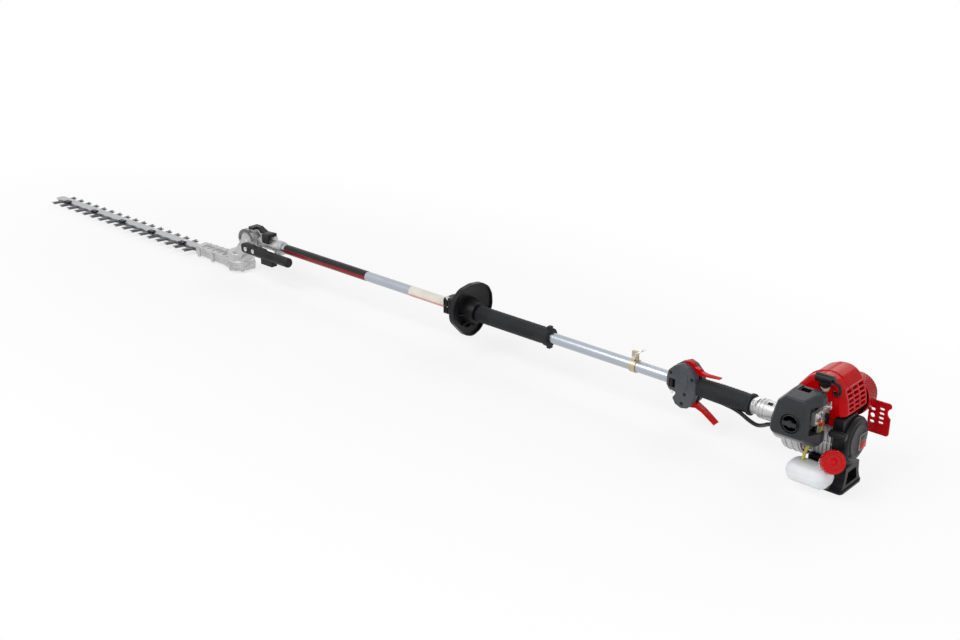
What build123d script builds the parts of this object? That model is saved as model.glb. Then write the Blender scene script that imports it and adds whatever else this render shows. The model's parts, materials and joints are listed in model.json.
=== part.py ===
"""Long-reach petrol hedge trimmer: a jointed double-sided cutter on a pole with a small engine.

Millimetres, +Z up. The pole runs along X with the cutter towards -X and the engine at the +X end.
The origin is the middle of the engine stand's flat foot, on the surface that it rests on.
"""
import os
from math import cos, radians, sin, tan

from build123d import *

# Driving dimensions of the pole
AXIS_Z = 92.0            # height of the pole's axis above the stand foot
TUBE_R = 11.1            # outer radius of the pole
TUBE_WALL = 1.6
SHAFT_R = 3.5            # drive shaft inside the pole
RUN = 0.06               # radial clearance of a running fit
GAP = 0.4                # air between parts that move past each other

# Stations along the pole, from the cutter to the engine
PIVOT_X = -1563.0        # axis of the cutter's tilt joint
DRUM_X = PIVOT_X - 56.0  # axis of the gear drum
BLADE_TIP_X = -2452.0
TUBE_FRONT_X = PIVOT_X + 47.0
GUARD_X = -858.0
FRONT_GRIP_X = (-824.0, -634.0)
HANGER_X = -431.0
REAR_GRIP_X = (-284.6, -176.0)
COLLAR_X = (-175.0, -160.0)
NECK_X = (-160.0, -118.0)
TUBE_REAR_X = -150.0

# Cutter
TOOTH_PITCH = 38.5
TOOTH_COUNT = 17
STROKE = TOOTH_PITCH / 4
BLADE_THICK = 2.2
BLADE_HALF = 14.0        # half width of the blade's spine
TOOTH_REACH = 36.0       # from the centre line to a tooth's tip
LOWER_Z = 11.7           # underside of the lower blade
UPPER_Z = LOWER_Z + BLADE_THICK + 0.2
BAR_Z = UPPER_Z + BLADE_THICK + 0.2
BAR_THICK = 3.5
BAR_HALF = 12.5
BOLT_X = [-2388.0 + 135.0 * i for i in range(5)]
BOLT_R = 3.0

# Gear case
CASE_BOTTOM_Z = 6.0
CASE_SPLIT_Z = 16.0
ARM_TOP_Z = 30.0
DRUM_TOP_Z = 49.0
DRUM_R = 33.0
CASE_WALL = 3.0
ARM_FRONT_X = -1782.0
DRUM_SHAFT_R = 5.0
ARM_HALF = (17.0, 24.0)  # half width at the front and at the drum
BULGE_R = 27.0           # rounding of the case in front of the drum
BULGE_X = DRUM_X - 24.0

# Tilt joint and its gears: pitch cones meet at the tilt axis
DISC_R = 27.0
DISC_Y = (-24.0, -14.3)
YOKE_Y = (14.3, 24.0)
PINION_ANGLE = 20.0
CONE_LENGTH = 21.0
IDLER_FACE = 7.0
SOCKET_R = 14.0
FROM_BASE = (Align.CENTER, Align.CENTER, Align.MIN)

os.makedirs("parts", exist_ok=True)


POLE_SIDE = Plane(origin=(0, 0, AXIS_Z), x_dir=(1, 0, 0), z_dir=(0, -1, 0))
POLE_AXIS = Axis((0, 0, AXIS_Z), (1, 0, 0))


def level(z):
    """Horizontal plane at a height."""
    return Plane.XY.offset(z)


def side(y):
    """Upright plane along the pole; its x and y are the world's X and Z, its normal is -Y."""
    return Plane(origin=(0, y, 0), x_dir=(1, 0, 0), z_dir=(0, -1, 0))


def across(x):
    """Upright plane across the pole; its x and y are the world's Y and Z, its normal is +X."""
    return Plane(origin=(x, 0, 0), x_dir=(0, 1, 0), z_dir=(1, 0, 0))


def bar_x(radius, x1, x2, y=0.0, z=AXIS_Z, mode=Mode.ADD):
    """Round bar along X between two stations."""
    with Locations(Location(((x1 + x2) / 2, y, z), (0, 90, 0))):
        Cylinder(radius, x2 - x1, mode=mode)


def bar_y(radius, y1, y2, x=0.0, z=AXIS_Z, mode=Mode.ADD):
    """Round bar along Y between two stations."""
    with Locations(Location((x, (y1 + y2) / 2, z), (90, 0, 0))):
        Cylinder(radius, y2 - y1, mode=mode)


def bar_z(radius, z1, z2, x=0.0, y=0.0, mode=Mode.ADD):
    """Round bar along Z between two heights."""
    with Locations((x, y, (z1 + z2) / 2)):
        Cylinder(radius, z2 - z1, mode=mode)


def block(x, y, z, mode=Mode.ADD):
    """Box between three pairs of limits."""
    with Locations(((x[0] + x[1]) / 2, (y[0] + y[1]) / 2, (z[0] + z[1]) / 2)):
        Box(x[1] - x[0], y[1] - y[0], z[1] - z[0], mode=mode)


def save(piece, name):
    """Label a finished piece and write it as its own file."""
    piece.part.label = name
    export_step(piece.part, f"parts/{name}.step")


def arc_radii(points):
    """Large even radii for the corners of a cable's route."""
    runs = [Vector(*after) - Vector(*before) for before, after in zip(points, points[1:])]
    pairs = list(zip(runs, runs[1:]))
    radii = [0.45 * min(a.length, b.length) / tan(radians(a.get_angle(b) / 2)) for a, b in pairs]
    print("arc radii", [round(radius) for radius in radii])
    return radii


def along(start, direction):
    """Plane at a point whose normal is a direction in the upright plane of the pole."""
    return Plane(origin=start, x_dir=(0, 1, 0), z_dir=direction)


TOOTH_X = [BLADE_TIP_X + 30 + TOOTH_PITCH * i for i in range(TOOTH_COUNT)]


# Blades: a spine with teeth on both edges, slotted for the guide bolts
def blade(z, lean, root_x):
    """One toothed blade with its underside at z; lean shifts the tooth tips along the blade."""
    spine = (BLADE_TIP_X + 16, root_x)
    with BuildPart() as piece:
        with BuildSketch(level(z)):
            with Locations(((spine[0] + spine[1]) / 2, 0)):
                Rectangle(spine[1] - spine[0], 2 * BLADE_HALF)
            for hand in (1, -1):
                with Locations(*[(x, 0) for x in TOOTH_X]):
                    Polygon(
                        (-6, hand * (BLADE_HALF - 1)),
                        (-5 - lean, hand * TOOTH_REACH),
                        (-0.5 - lean, hand * TOOTH_REACH),
                        (7, hand * (BLADE_HALF - 1)),
                        align=None,
                    )
            with Locations(*[(x, 0) for x in BOLT_X]):
                SlotOverall(2 * (STROKE + BOLT_R + 1.2), 2 * (BOLT_R + 0.8), mode=Mode.SUBTRACT)
        extrude(amount=BLADE_THICK)
    return piece


BLADE_ROOT_X = DRUM_X - 30.0
save(blade(UPPER_Z, 5.0, BLADE_ROOT_X), "upper_blade")
save(blade(LOWER_Z, -2.0, BLADE_ROOT_X), "lower_blade")

# Guide bar over the blades, with a rounded nose
BAR_X = (BLADE_TIP_X, ARM_FRONT_X + 62.0)
with BuildPart() as guide_bar:
    with BuildSketch(level(BAR_Z)):
        with Locations(((BAR_X[0] + BAR_X[1]) / 2, 0)):
            RectangleRounded(BAR_X[1] - BAR_X[0], 2 * BAR_HALF, 9)
        with Locations(*[(x, 0) for x in BOLT_X]):
            Circle(BOLT_R + 0.1, mode=Mode.SUBTRACT)
    extrude(amount=BAR_THICK)
save(guide_bar, "guide_bar")

# Guide pads: black clips on the near edge of the bar beside each bolt
PAD_TOP = BAR_Z + BAR_THICK + 3.0
with BuildPart() as guide_pads:
    with Locations(*[(x, -11.25, (BAR_Z + BAR_THICK + PAD_TOP) / 2) for x in BOLT_X]):
        Box(20, 11.5, PAD_TOP - BAR_Z - BAR_THICK)
    with Locations(*[(x, -14.8, (BAR_Z + 0.3 + PAD_TOP) / 2) for x in BOLT_X]):
        Box(20, 4.4, PAD_TOP - BAR_Z - 0.3)
save(guide_pads, "guide_pads")

# Guide bolts: domed head above the bar, shank through the blades, lock nut below
with BuildPart() as blade_bolts:
    with BuildSketch(level(LOWER_Z - 5.5)):
        with Locations(*[(x, 0) for x in BOLT_X]):
            Circle(BOLT_R)
    extrude(amount=BAR_Z + BAR_THICK + 1 - LOWER_Z + 5.5)
    with BuildSketch(level(BAR_Z + BAR_THICK)):
        with Locations(*[(x, 0) for x in BOLT_X]):
            Circle(5.2)
    extrude(amount=3.6)
    with BuildSketch(level(LOWER_Z - 4.8)):
        with Locations(*[(x, 0) for x in BOLT_X]):
            RegularPolygon(5.6, 6)
    extrude(amount=4.4)
save(blade_bolts, "blade_bolts")


# Gear case: two castings split level with the blades
def case_outline(inset):
    """Outline of the case from above, pulled in by inset."""
    front = ARM_FRONT_X + inset
    Polygon(
        (front, -ARM_HALF[0] + inset),
        (DRUM_X, -ARM_HALF[1] + inset),
        (DRUM_X, ARM_HALF[1] - inset),
        (front, ARM_HALF[0] - inset),
        align=None,
    )
    with Locations((DRUM_X, 0)):
        Circle(DRUM_R - inset)
    with Locations((BULGE_X, 0)):
        Circle(BULGE_R - inset)


CHANNEL_Y = BLADE_HALF + 0.6
CHANNEL_Z = (LOWER_Z - 0.5, BAR_Z + BAR_THICK)
SCREW_XY = [(ARM_FRONT_X + 14, s * (ARM_HALF[0] + 1)) for s in (1, -1)]
SCREW_XY += [(ARM_FRONT_X + 74, s * (ARM_HALF[0] + 4)) for s in (1, -1)]
SCREW_XY += [(DRUM_X + 30 * cos(radians(a)), 30 * sin(radians(a))) for a in (100, 260, 35, 325)]
SCREW_R = 2.5
BOSS_R = 5.0


def case_bosses(z1, z2):
    """Screw bosses around the rim of the case."""
    for x, y in SCREW_XY:
        bar_z(BOSS_R, z1, z2, x=x, y=y)


with BuildPart() as gearcase_lower:
    with BuildSketch(level(CASE_BOTTOM_Z)):
        case_outline(0.0)
    extrude(amount=CASE_SPLIT_Z - CASE_BOTTOM_Z)
    fillet(gearcase_lower.edges().group_by(Axis.Z)[0], 2.0)
    case_bosses(CASE_BOTTOM_Z + 2, CASE_SPLIT_Z)
    block((ARM_FRONT_X - 1, DRUM_X), (-CHANNEL_Y, CHANNEL_Y), (CHANNEL_Z[0], CASE_SPLIT_Z), Mode.SUBTRACT)
    bar_z(DRUM_R - CASE_WALL, CHANNEL_Z[0], CASE_SPLIT_Z, x=DRUM_X, mode=Mode.SUBTRACT)
    bar_z(DRUM_SHAFT_R + RUN, CASE_BOTTOM_Z + 1, CASE_SPLIT_Z, x=DRUM_X, mode=Mode.SUBTRACT)
    for x, y in SCREW_XY:
        bar_z(SCREW_R, CASE_BOTTOM_Z - 1, CASE_SPLIT_Z, x=x, y=y, mode=Mode.SUBTRACT)
save(gearcase_lower, "gearcase_lower")

# Neck from the drum up to the tilt joint, clear of the pole when the cutter folds down
NECK_HALF = 13.5
NECK_Y = (DISC_Y[0], 13.0)
HEAD_SHAFT_R = 5.0
PINION_R = 10.5
PIVOT = Vector(PIVOT_X, 0, AXIS_Z)
CROWN = Vector(DRUM_X, 0, AXIS_Z - 62.0)
HEAD_SLOPE = (CROWN - PIVOT).normalized()
HEAD_REACH = (CROWN - PIVOT).length


def neck_outline():
    """Side outline of the neck: a band along the head shaft from the disc to the drum."""
    reach = 29.5
    normal = Vector(HEAD_SLOPE.Z, 0, -HEAD_SLOPE.X)
    near = PIVOT + HEAD_SLOPE * reach
    far = PIVOT + HEAD_SLOPE * (HEAD_REACH - 6)
    ends = [near + normal * NECK_HALF, near - normal * NECK_HALF]
    ends += [far - normal * NECK_HALF, far + normal * NECK_HALF]
    Polygon(*[(p.X, p.Z) for p in ends], align=None)


with BuildPart() as gearcase_upper:
    with BuildSketch(level(CASE_SPLIT_Z)):
        case_outline(0.0)
    extrude(amount=ARM_TOP_Z - CASE_SPLIT_Z)
    fillet(gearcase_upper.edges().group_by(Axis.Z)[-1], 3.0)
    bar_z(DRUM_R - 1.5, ARM_TOP_Z - 4, DRUM_TOP_Z, x=DRUM_X)
    fillet(gearcase_upper.edges().group_by(Axis.Z)[-1], 3.0)
    with BuildSketch(side(NECK_Y[1])):
        neck_outline()
    extrude(amount=NECK_Y[1] - NECK_Y[0])
    case_bosses(CASE_SPLIT_Z, CASE_SPLIT_Z + 9)
    block((ARM_FRONT_X + 30, DRUM_X - 24), (-2.5, 2.5), (ARM_TOP_Z - 1, ARM_TOP_Z + 5))
    block((ARM_FRONT_X - 1, DRUM_X), (-CHANNEL_Y, CHANNEL_Y), (CASE_SPLIT_Z, CHANNEL_Z[1]), Mode.SUBTRACT)
    bar_z(DRUM_R - CASE_WALL - 1, CASE_SPLIT_Z, DRUM_TOP_Z - CASE_WALL, x=DRUM_X, mode=Mode.SUBTRACT)
    with Locations(along(PIVOT + HEAD_SLOPE * 28, HEAD_SLOPE).location):
        Cylinder(HEAD_SHAFT_R + RUN, 40, align=FROM_BASE, mode=Mode.SUBTRACT)
    with Locations(along(PIVOT + HEAD_SLOPE * (HEAD_REACH - 19), HEAD_SLOPE).location):
        Cylinder(PINION_R + 1, 30, align=FROM_BASE, mode=Mode.SUBTRACT)
    for x, y in SCREW_XY:
        bar_z(SCREW_R - 0.3, CASE_SPLIT_Z, CASE_SPLIT_Z + 7, x=x, y=y, mode=Mode.SUBTRACT)
save(gearcase_upper, "gearcase_upper")

# Case screws, driven from below
with BuildPart() as gearcase_screws:
    for x, y in SCREW_XY:
        bar_z(SCREW_R - 0.35, CASE_BOTTOM_Z, CASE_SPLIT_Z + 6.5, x=x, y=y)
        bar_z(4.2, CASE_BOTTOM_Z - 3.2, CASE_BOTTOM_Z, x=x, y=y)
        bar_z(2.0, CASE_BOTTOM_Z - 3.2, CASE_BOTTOM_Z - 1.2, x=x, y=y, mode=Mode.SUBTRACT)
save(gearcase_screws, "gearcase_screws")

# Joint disc on the cutter's side of the tilt joint, notched along its top for the lock
NOTCH_COUNT = 12
NOTCH_STEP = 11.25
LUG_X = PIVOT_X + 50.0
LUG_BACK_Y = -19.4      # the lug passes outside the lock's nose as the cutter folds
HANDLE_Z = AXIS_Z - 15.5
HANDLE_BOLTS = [PIVOT_X + 12.0, PIVOT_X + 40.0]
HANDLE_BOLT_R = 3.0
PIN_R = 5.0
with BuildPart() as joint_disc:
    with BuildSketch(side(DISC_Y[1])):
        with Locations((PIVOT_X, AXIS_Z)):
            Circle(DISC_R + 2.0)
        with Locations((PIVOT_X, AXIS_Z)):
            with PolarLocations(DISC_R + 2.0, NOTCH_COUNT, 40.0, NOTCH_STEP * NOTCH_COUNT):
                Rectangle(3.6, 2.6, mode=Mode.SUBTRACT)
    extrude(amount=DISC_Y[1] - DISC_Y[0])
    with BuildSketch(side(LUG_BACK_Y)):
        with Locations(((PIVOT_X + LUG_X) / 2, HANDLE_Z)):
            RectangleRounded(LUG_X - PIVOT_X, 22, 6)
    extrude(amount=LUG_BACK_Y - DISC_Y[0])
    bar_y(PIN_R + RUN, DISC_Y[0] - 1, DISC_Y[1] + 1, x=PIVOT_X, mode=Mode.SUBTRACT)
    for x in HANDLE_BOLTS:
        bar_y(HANDLE_BOLT_R, DISC_Y[0] - 1, DISC_Y[1] + 1, x=x, z=HANDLE_Z, mode=Mode.SUBTRACT)
save(joint_disc, "joint_disc")

# Adjusting handle: a flat plate bolted to the disc's lug, drawn out into a round grip
HANDLE_Y = (-34.0, DISC_Y[0])
HANDLE_R = 11.5
HANDLE_ROD_X = (PIVOT_X + 52.0, PIVOT_X + 170.0)
ROD_Y = -33.0
with BuildPart() as adjust_handle:
    with BuildSketch(side(HANDLE_Y[1])):
        with Locations(((PIVOT_X - 8 + HANDLE_ROD_X[0] + 30) / 2, HANDLE_Z)):
            RectangleRounded(HANDLE_ROD_X[0] + 38 - PIVOT_X, 2 * HANDLE_R, 8)
    extrude(amount=HANDLE_Y[1] - HANDLE_Y[0])
    bar_x(HANDLE_R, *HANDLE_ROD_X, y=ROD_Y, z=HANDLE_Z)
    fillet(adjust_handle.edges().group_by(Axis.X)[-1], 5.0)
    block(
        (PIVOT_X + 74, PIVOT_X + 114),
        (ROD_Y - 8, ROD_Y + 8),
        (HANDLE_Z - HANDLE_R - 10, HANDLE_Z - HANDLE_R + 4),
    )
    for x in HANDLE_BOLTS:
        bar_y(HANDLE_BOLT_R, HANDLE_Y[0] - 1, HANDLE_Y[1] + 1, x=x, z=HANDLE_Z, mode=Mode.SUBTRACT)
save(adjust_handle, "adjust_handle")

with BuildPart() as handle_bolts:
    for x in HANDLE_BOLTS:
        bar_y(HANDLE_BOLT_R - 0.02, HANDLE_Y[0], LUG_BACK_Y, x=x, z=HANDLE_Z)
        bar_y(5.5, HANDLE_Y[0] - 4, HANDLE_Y[0], x=x, z=HANDLE_Z)
        bar_y(2.5, HANDLE_Y[0] - 4.1, HANDLE_Y[0] - 1.5, x=x, z=HANDLE_Z, mode=Mode.SUBTRACT)
save(handle_bolts, "handle_bolts")


# Tilt joint: yoke on the pole's side, with the pole's socket and the nose around the drive shaft
SOCKET_X = (PIVOT_X + 45.0, PIVOT_X + 112.0)
NOSE_R = 9.5
LEVER_PIN = (SOCKET_X[0] + 5.0, AXIS_Z + SOCKET_R + 6.0)
LEVER_PIN_R = 2.0
with BuildPart() as joint_housing:
    bar_y(DISC_R, *YOKE_Y, x=PIVOT_X)
    fillet(joint_housing.edges().group_by(Axis.Y)[-1], 3.0)
    block((PIVOT_X, SOCKET_X[0] + 16), YOKE_Y, (AXIS_Z - SOCKET_R + 2, AXIS_Z + SOCKET_R - 2))
    block((PIVOT_X + 32, SOCKET_X[0] + 16), (0, YOKE_Y[0]), (AXIS_Z - NOSE_R + 1, AXIS_Z + NOSE_R - 1))
    bar_x(SOCKET_R, *SOCKET_X)
    bar_x(NOSE_R, PIVOT_X + 24, SOCKET_X[0] + 1)
    for y in (-10.0, 10.0):
        block(
            (LEVER_PIN[0] - 6, LEVER_PIN[0] + 6),
            (y - 2.5, y + 2.5),
            (AXIS_Z + 6, LEVER_PIN[1] + 5),
        )
    bar_y(LEVER_PIN_R, -14, 14, x=LEVER_PIN[0], z=LEVER_PIN[1], mode=Mode.SUBTRACT)
    bar_x(TUBE_R, TUBE_FRONT_X, SOCKET_X[1] + 1, mode=Mode.SUBTRACT)
    bar_x(SHAFT_R + 1.0, PIVOT_X + 20, SOCKET_X[1], mode=Mode.SUBTRACT)
    bar_y(PIN_R, YOKE_Y[0] - 1, YOKE_Y[1] + 1, x=PIVOT_X, mode=Mode.SUBTRACT)
save(joint_housing, "joint_housing")

# Pivot pin through the disc, the idler gear and the yoke, with the lock lever's pin beside it
with BuildPart() as pivot_pins:
    bar_y(PIN_R - 0.01, DISC_Y[0] + 0.3, YOKE_Y[1], x=PIVOT_X)
    bar_y(9.0, YOKE_Y[1], YOKE_Y[1] + 4, x=PIVOT_X)
    bar_y(4.0, YOKE_Y[1] + 1.5, YOKE_Y[1] + 5, x=PIVOT_X, mode=Mode.SUBTRACT)
    bar_y(LEVER_PIN_R - 0.01, -13, 13, x=LEVER_PIN[0], z=LEVER_PIN[1])
save(pivot_pins, "pivot_pins")


def bevel(apex, angle, reach, face, teeth, lift=0.3):
    """Bevel wheel whose pitch cone starts at the apex plane's origin and opens along its normal."""
    slope = radians(angle)
    front = (reach - face) * cos(slope) + lift
    back = reach * cos(slope) + lift
    middle = reach - face / 2
    with Locations(apex.offset(front).location):
        Cone((reach - face) * sin(slope), reach * sin(slope), back - front, align=FROM_BASE)
    with Locations(apex.offset(middle * cos(slope) + lift).location):
        with PolarLocations(middle * sin(slope), teeth):
            Box(1.6 * face, TOOTH_GROOVE, 2.2, rotation=(0, angle - 90, 0), mode=Mode.SUBTRACT)
    return back


TOOTH_GROOVE = 1.1

# Idler: a wide bevel wheel on the pivot pin, driven by the pole's shaft
with BuildPart() as idler_gear:
    apex = Plane(origin=PIVOT, x_dir=(1, 0, 0), z_dir=(0, 1, 0))
    back = bevel(apex, 90 - PINION_ANGLE, CONE_LENGTH, IDLER_FACE, 38)
    idler_r = CONE_LENGTH * sin(radians(90 - PINION_ANGLE))
    bar_y(idler_r, back, YOKE_Y[0] - GAP, x=PIVOT_X)
    bar_y(PIN_R + RUN, 0, YOKE_Y[0], x=PIVOT_X, mode=Mode.SUBTRACT)
save(idler_gear, "idler_gear")

# Head shaft: takes the idler's turn down the neck to the crown gear
CROWN_ANGLE = 50.0
CROWN_CONE = PINION_R / sin(radians(CROWN_ANGLE))
CROWN_FACE = 5.0
with BuildPart() as head_shaft:
    back = bevel(along(PIVOT, HEAD_SLOPE), PINION_ANGLE, CONE_LENGTH, IDLER_FACE, 14)
    low_back = bevel(along(CROWN, HEAD_SLOPE * -1), CROWN_ANGLE, CROWN_CONE, CROWN_FACE, 18)
    with Locations(along(PIVOT + HEAD_SLOPE * (back - 0.1), HEAD_SLOPE).location):
        Cylinder(HEAD_SHAFT_R, HEAD_REACH - low_back - back + 0.2, align=FROM_BASE)
save(head_shaft, "head_shaft")

# Drive gear: a crown wheel on the drum's axis with the two eccentrics that work the blades
CROWN_TOP = CROWN.Z - 1.4
CROWN_R = 25.0
ECCENTRIC_R = 9.0
ECCENTRIC_OFFSET = 7.0
with BuildPart() as drive_gear:
    bar_z(CROWN_R, CROWN_TOP - 6, CROWN_TOP, x=DRUM_X)
    with Locations((DRUM_X, 0, CROWN_TOP)):
        with PolarLocations(CROWN_R - 10, 24):
            Box(19, TOOTH_GROOVE, 2.2, mode=Mode.SUBTRACT)
    bar_z(8.0, LOWER_Z, CROWN_TOP - 5, x=DRUM_X)
    bar_z(ECCENTRIC_R, UPPER_Z, UPPER_Z + BLADE_THICK, x=DRUM_X - ECCENTRIC_OFFSET)
    bar_z(ECCENTRIC_R, LOWER_Z, LOWER_Z + BLADE_THICK, x=DRUM_X + ECCENTRIC_OFFSET)
    bar_z(DRUM_SHAFT_R, CASE_BOTTOM_Z + 1.5, LOWER_Z + 1, x=DRUM_X)
save(drive_gear, "drive_gear")

# Lock lever: a sprung thumb lever whose nose drops into the disc's notches
LEVER_HALF = 7.2
NOSE_Z = AXIS_Z + DISC_R + 2.9
THUMB_X = (LEVER_PIN[0] + 7.0, LEVER_PIN[0] + 29.0)
THUMB_Y = (-20.8, -15.2)
THUMB_Z = (AXIS_Z + 7.0, AXIS_Z + 29.0)
with BuildPart() as lock_lever:
    with BuildSketch(side(LEVER_HALF)):
        Polygon(
            (PIVOT_X + 6, NOSE_Z),
            (PIVOT_X + 28, NOSE_Z),
            (LEVER_PIN[0] - 6, LEVER_PIN[1] - 3),
            (LEVER_PIN[0] + 4, LEVER_PIN[1] - 3.5),
            (THUMB_X[1], LEVER_PIN[1] + 1),
            (THUMB_X[1], LEVER_PIN[1] + 9),
            (LEVER_PIN[0] - 2, LEVER_PIN[1] + 7),
            (PIVOT_X + 28, NOSE_Z + 6),
            (PIVOT_X + 6, NOSE_Z + 6),
            align=None,
        )
    extrude(amount=2 * LEVER_HALF)
    block((PIVOT_X + 6, PIVOT_X + 22), (LUG_BACK_Y + 0.6, LEVER_HALF - 2), (NOSE_Z, NOSE_Z + 6))
    block((THUMB_X[0] + 8, THUMB_X[1]), (THUMB_Y[0], LEVER_HALF - 2), (LEVER_PIN[1] + 1, THUMB_Z[1]))
    block(THUMB_X, THUMB_Y, THUMB_Z)
    bar_y(LEVER_PIN_R + RUN, -20, 20, x=LEVER_PIN[0], z=LEVER_PIN[1], mode=Mode.SUBTRACT)
save(lock_lever, "lock_lever")

# Pole
with BuildPart() as main_tube:
    bar_x(TUBE_R - 0.01, TUBE_FRONT_X, TUBE_REAR_X)
    bar_x(TUBE_R - TUBE_WALL, TUBE_FRONT_X - 1, TUBE_REAR_X + 1, mode=Mode.SUBTRACT)
save(main_tube, "main_tube")

# Drive shaft with its bevel pinion, running in sleeve bushes inside the pole
CLUTCH_X = -112.0
BUSH_X = [TUBE_FRONT_X + 30 + 318.0 * i for i in range(5)]
with BuildPart() as drive_shaft:
    apex = Plane(origin=PIVOT, x_dir=(0, 1, 0), z_dir=(1, 0, 0))
    back = bevel(apex, PINION_ANGLE, CONE_LENGTH, IDLER_FACE, 14)
    bar_x(SHAFT_R, PIVOT_X + back - 0.1, CLUTCH_X - 6)
save(drive_shaft, "drive_shaft")

with BuildPart() as shaft_bushes:
    for x in BUSH_X:
        bar_x(TUBE_R - TUBE_WALL - 0.02, x, x + 22)
        bar_x(SHAFT_R + RUN, x - 1, x + 23, mode=Mode.SUBTRACT)
save(shaft_bushes, "shaft_bushes")

# Hand guard: a shallow dish with straight lower sides and a raised rim, on a split clamp
GUARD_OUTLINE = [
    (0, -56), (24, -47), (62, -6), (60, 24), (50, 43), (30, 56), (0, 60),
    (-30, 56), (-50, 43), (-60, 24), (-62, -6), (-24, -47),
]
GUARD_CORNER = 30.0
GUARD_RIM = 3.0
CLAMP_X = (GUARD_X - 54.0, GUARD_X - 6.0)
CLAMP_HALF = 18.0
with BuildPart() as hand_guard:
    with BuildSketch(POLE_SIDE):
        Polygon(
            (GUARD_X, TUBE_R),
            (GUARD_X, 30),
            (GUARD_X + 8, 70),
            (GUARD_X + 12, 70),
            (GUARD_X + 4, 29),
            (GUARD_X + 30, 22),
            (GUARD_X + 30, TUBE_R),
            align=None,
        )
    revolve(axis=POLE_AXIS)
    with BuildSketch(across(GUARD_X - 1)) as guard_face:
        Polygon(*[(y, AXIS_Z + z) for y, z in GUARD_OUTLINE], align=None)
        fillet(guard_face.vertices(), GUARD_CORNER)
    extrude(amount=40, mode=Mode.INTERSECT)
    with BuildSketch(across(GUARD_X + 3)) as guard_rim:
        Polygon(*[(y, AXIS_Z + z) for y, z in GUARD_OUTLINE], align=None)
        fillet(guard_rim.vertices(), GUARD_CORNER)
        offset(amount=-GUARD_RIM, mode=Mode.SUBTRACT)
    extrude(amount=11)
save(hand_guard, "hand_guard")

GUARD_SCREW_X = (CLAMP_X[0] + 10.0, CLAMP_X[0] + 36.0)
with BuildPart() as guard_clamp:
    with BuildSketch(across(CLAMP_X[0])):
        with Locations((0, AXIS_Z)):
            RectangleRounded(2 * CLAMP_HALF, 2 * CLAMP_HALF, 6)
            Circle(TUBE_R, mode=Mode.SUBTRACT)
            Rectangle(2 * CLAMP_HALF + 2, 2.0, mode=Mode.SUBTRACT)
    extrude(amount=CLAMP_X[1] - CLAMP_X[0])
    for x in GUARD_SCREW_X:
        for y in (-15.0, 15.0):
            bar_z(2.5, AXIS_Z - 20, AXIS_Z + 40, x=x, y=y, mode=Mode.SUBTRACT)
save(guard_clamp, "guard_clamp")

# Front grip: soft sleeve with a flared collar at its rear end
with BuildPart() as front_grip:
    bar_x(17.0, *FRONT_GRIP_X)
    bar_x(19.0, FRONT_GRIP_X[1] - 10, FRONT_GRIP_X[1])
    block((FRONT_GRIP_X[1] - 8, FRONT_GRIP_X[1]), (-5, 5), (AXIS_Z - 23, AXIS_Z + 23))
    bar_x(TUBE_R, FRONT_GRIP_X[0] - 1, FRONT_GRIP_X[1] + 1, mode=Mode.SUBTRACT)
save(front_grip, "front_grip")

# Harness hanger: a band clamp with ears on top and a free ring
EAR_Z = AXIS_Z + 25.0
EAR_HALF = 3.0
EAR_SCREW_Z = EAR_Z - 7.5
RING_R = 11.0
RING_WIRE = 1.3
RING_LEAN = 30.0
with BuildPart() as hanger_clamp:
    bar_x(TUBE_R + 2.2, HANGER_X - 6.5, HANGER_X + 6.5)
    block((HANGER_X - 6.5, HANGER_X + 6.5), (-EAR_HALF, EAR_HALF), (AXIS_Z + 9, EAR_Z + 4.5))
    block((HANGER_X - 7, HANGER_X + 7), (-0.8, 0.8), (AXIS_Z + 9, EAR_Z - 3.5), Mode.SUBTRACT)
    bar_x(TUBE_R, HANGER_X - 7, HANGER_X + 7, mode=Mode.SUBTRACT)
    bar_y(2.1, -6, 6, x=HANGER_X, z=EAR_SCREW_Z, mode=Mode.SUBTRACT)
    bar_y(RING_WIRE + 0.9, -6, 6, x=HANGER_X, z=EAR_Z, mode=Mode.SUBTRACT)
save(hanger_clamp, "hanger_clamp")

with BuildPart() as hanger_ring:
    ring_middle = (HANGER_X + RING_R * cos(radians(RING_LEAN)), 0, EAR_Z + RING_R * sin(radians(RING_LEAN)))
    with Locations(Location(ring_middle, (0, -RING_LEAN, 0))):
        Torus(RING_R, RING_WIRE)
save(hanger_ring, "hanger_ring")

# Clamp screws of the hanger and of the guard
with BuildPart() as clamp_screws:
    bar_y(2.0, -EAR_HALF, EAR_HALF, x=HANGER_X, z=EAR_SCREW_Z)
    bar_y(3.8, -EAR_HALF - 3, -EAR_HALF, x=HANGER_X, z=EAR_SCREW_Z)
    for x in GUARD_SCREW_X:
        for y in (-15.0, 15.0):
            bar_z(2.4, AXIS_Z - 12, AXIS_Z + CLAMP_HALF, x=x, y=y)
            bar_z(4.0, AXIS_Z + CLAMP_HALF, AXIS_Z + CLAMP_HALF + 3, x=x, y=y)
save(clamp_screws, "clamp_screws")

# Throttle housing: two plastic halves on the pole with slots for the levers
HOUSING_HALF = 19.0
HOUSING_OUTLINE = [
    (-348, 10), (-345, 23), (-334, 34), (-317, 42), (-304, 38), (-288, 23), (-285, 8), (-285, -12),
    (-291, -31), (-301, -42), (-314, -45), (-327, -40), (-334, -29), (-325, -16.5), (-342, -14.5), (-348, -6),
]
HOUSING_ROUND = 3.5
TRIGGER_PIN = (-320.0, AXIS_Z - 27.0)
LOCKOUT_PIN = (-326.0, AXIS_Z + 21.0)
LEVER_R = 2.0
TRIGGER_HALF = 6.0
LOCKOUT_HALF = 4.5
SWITCH_X = (-338.0, -332.0)
HOUSING_SCREWS = [(-338.5, 20.0), (-293.0, 18.0)]
PLATE_SCREWS = [(-307.0, -15.0), (-312.0, -34.5)]


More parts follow.
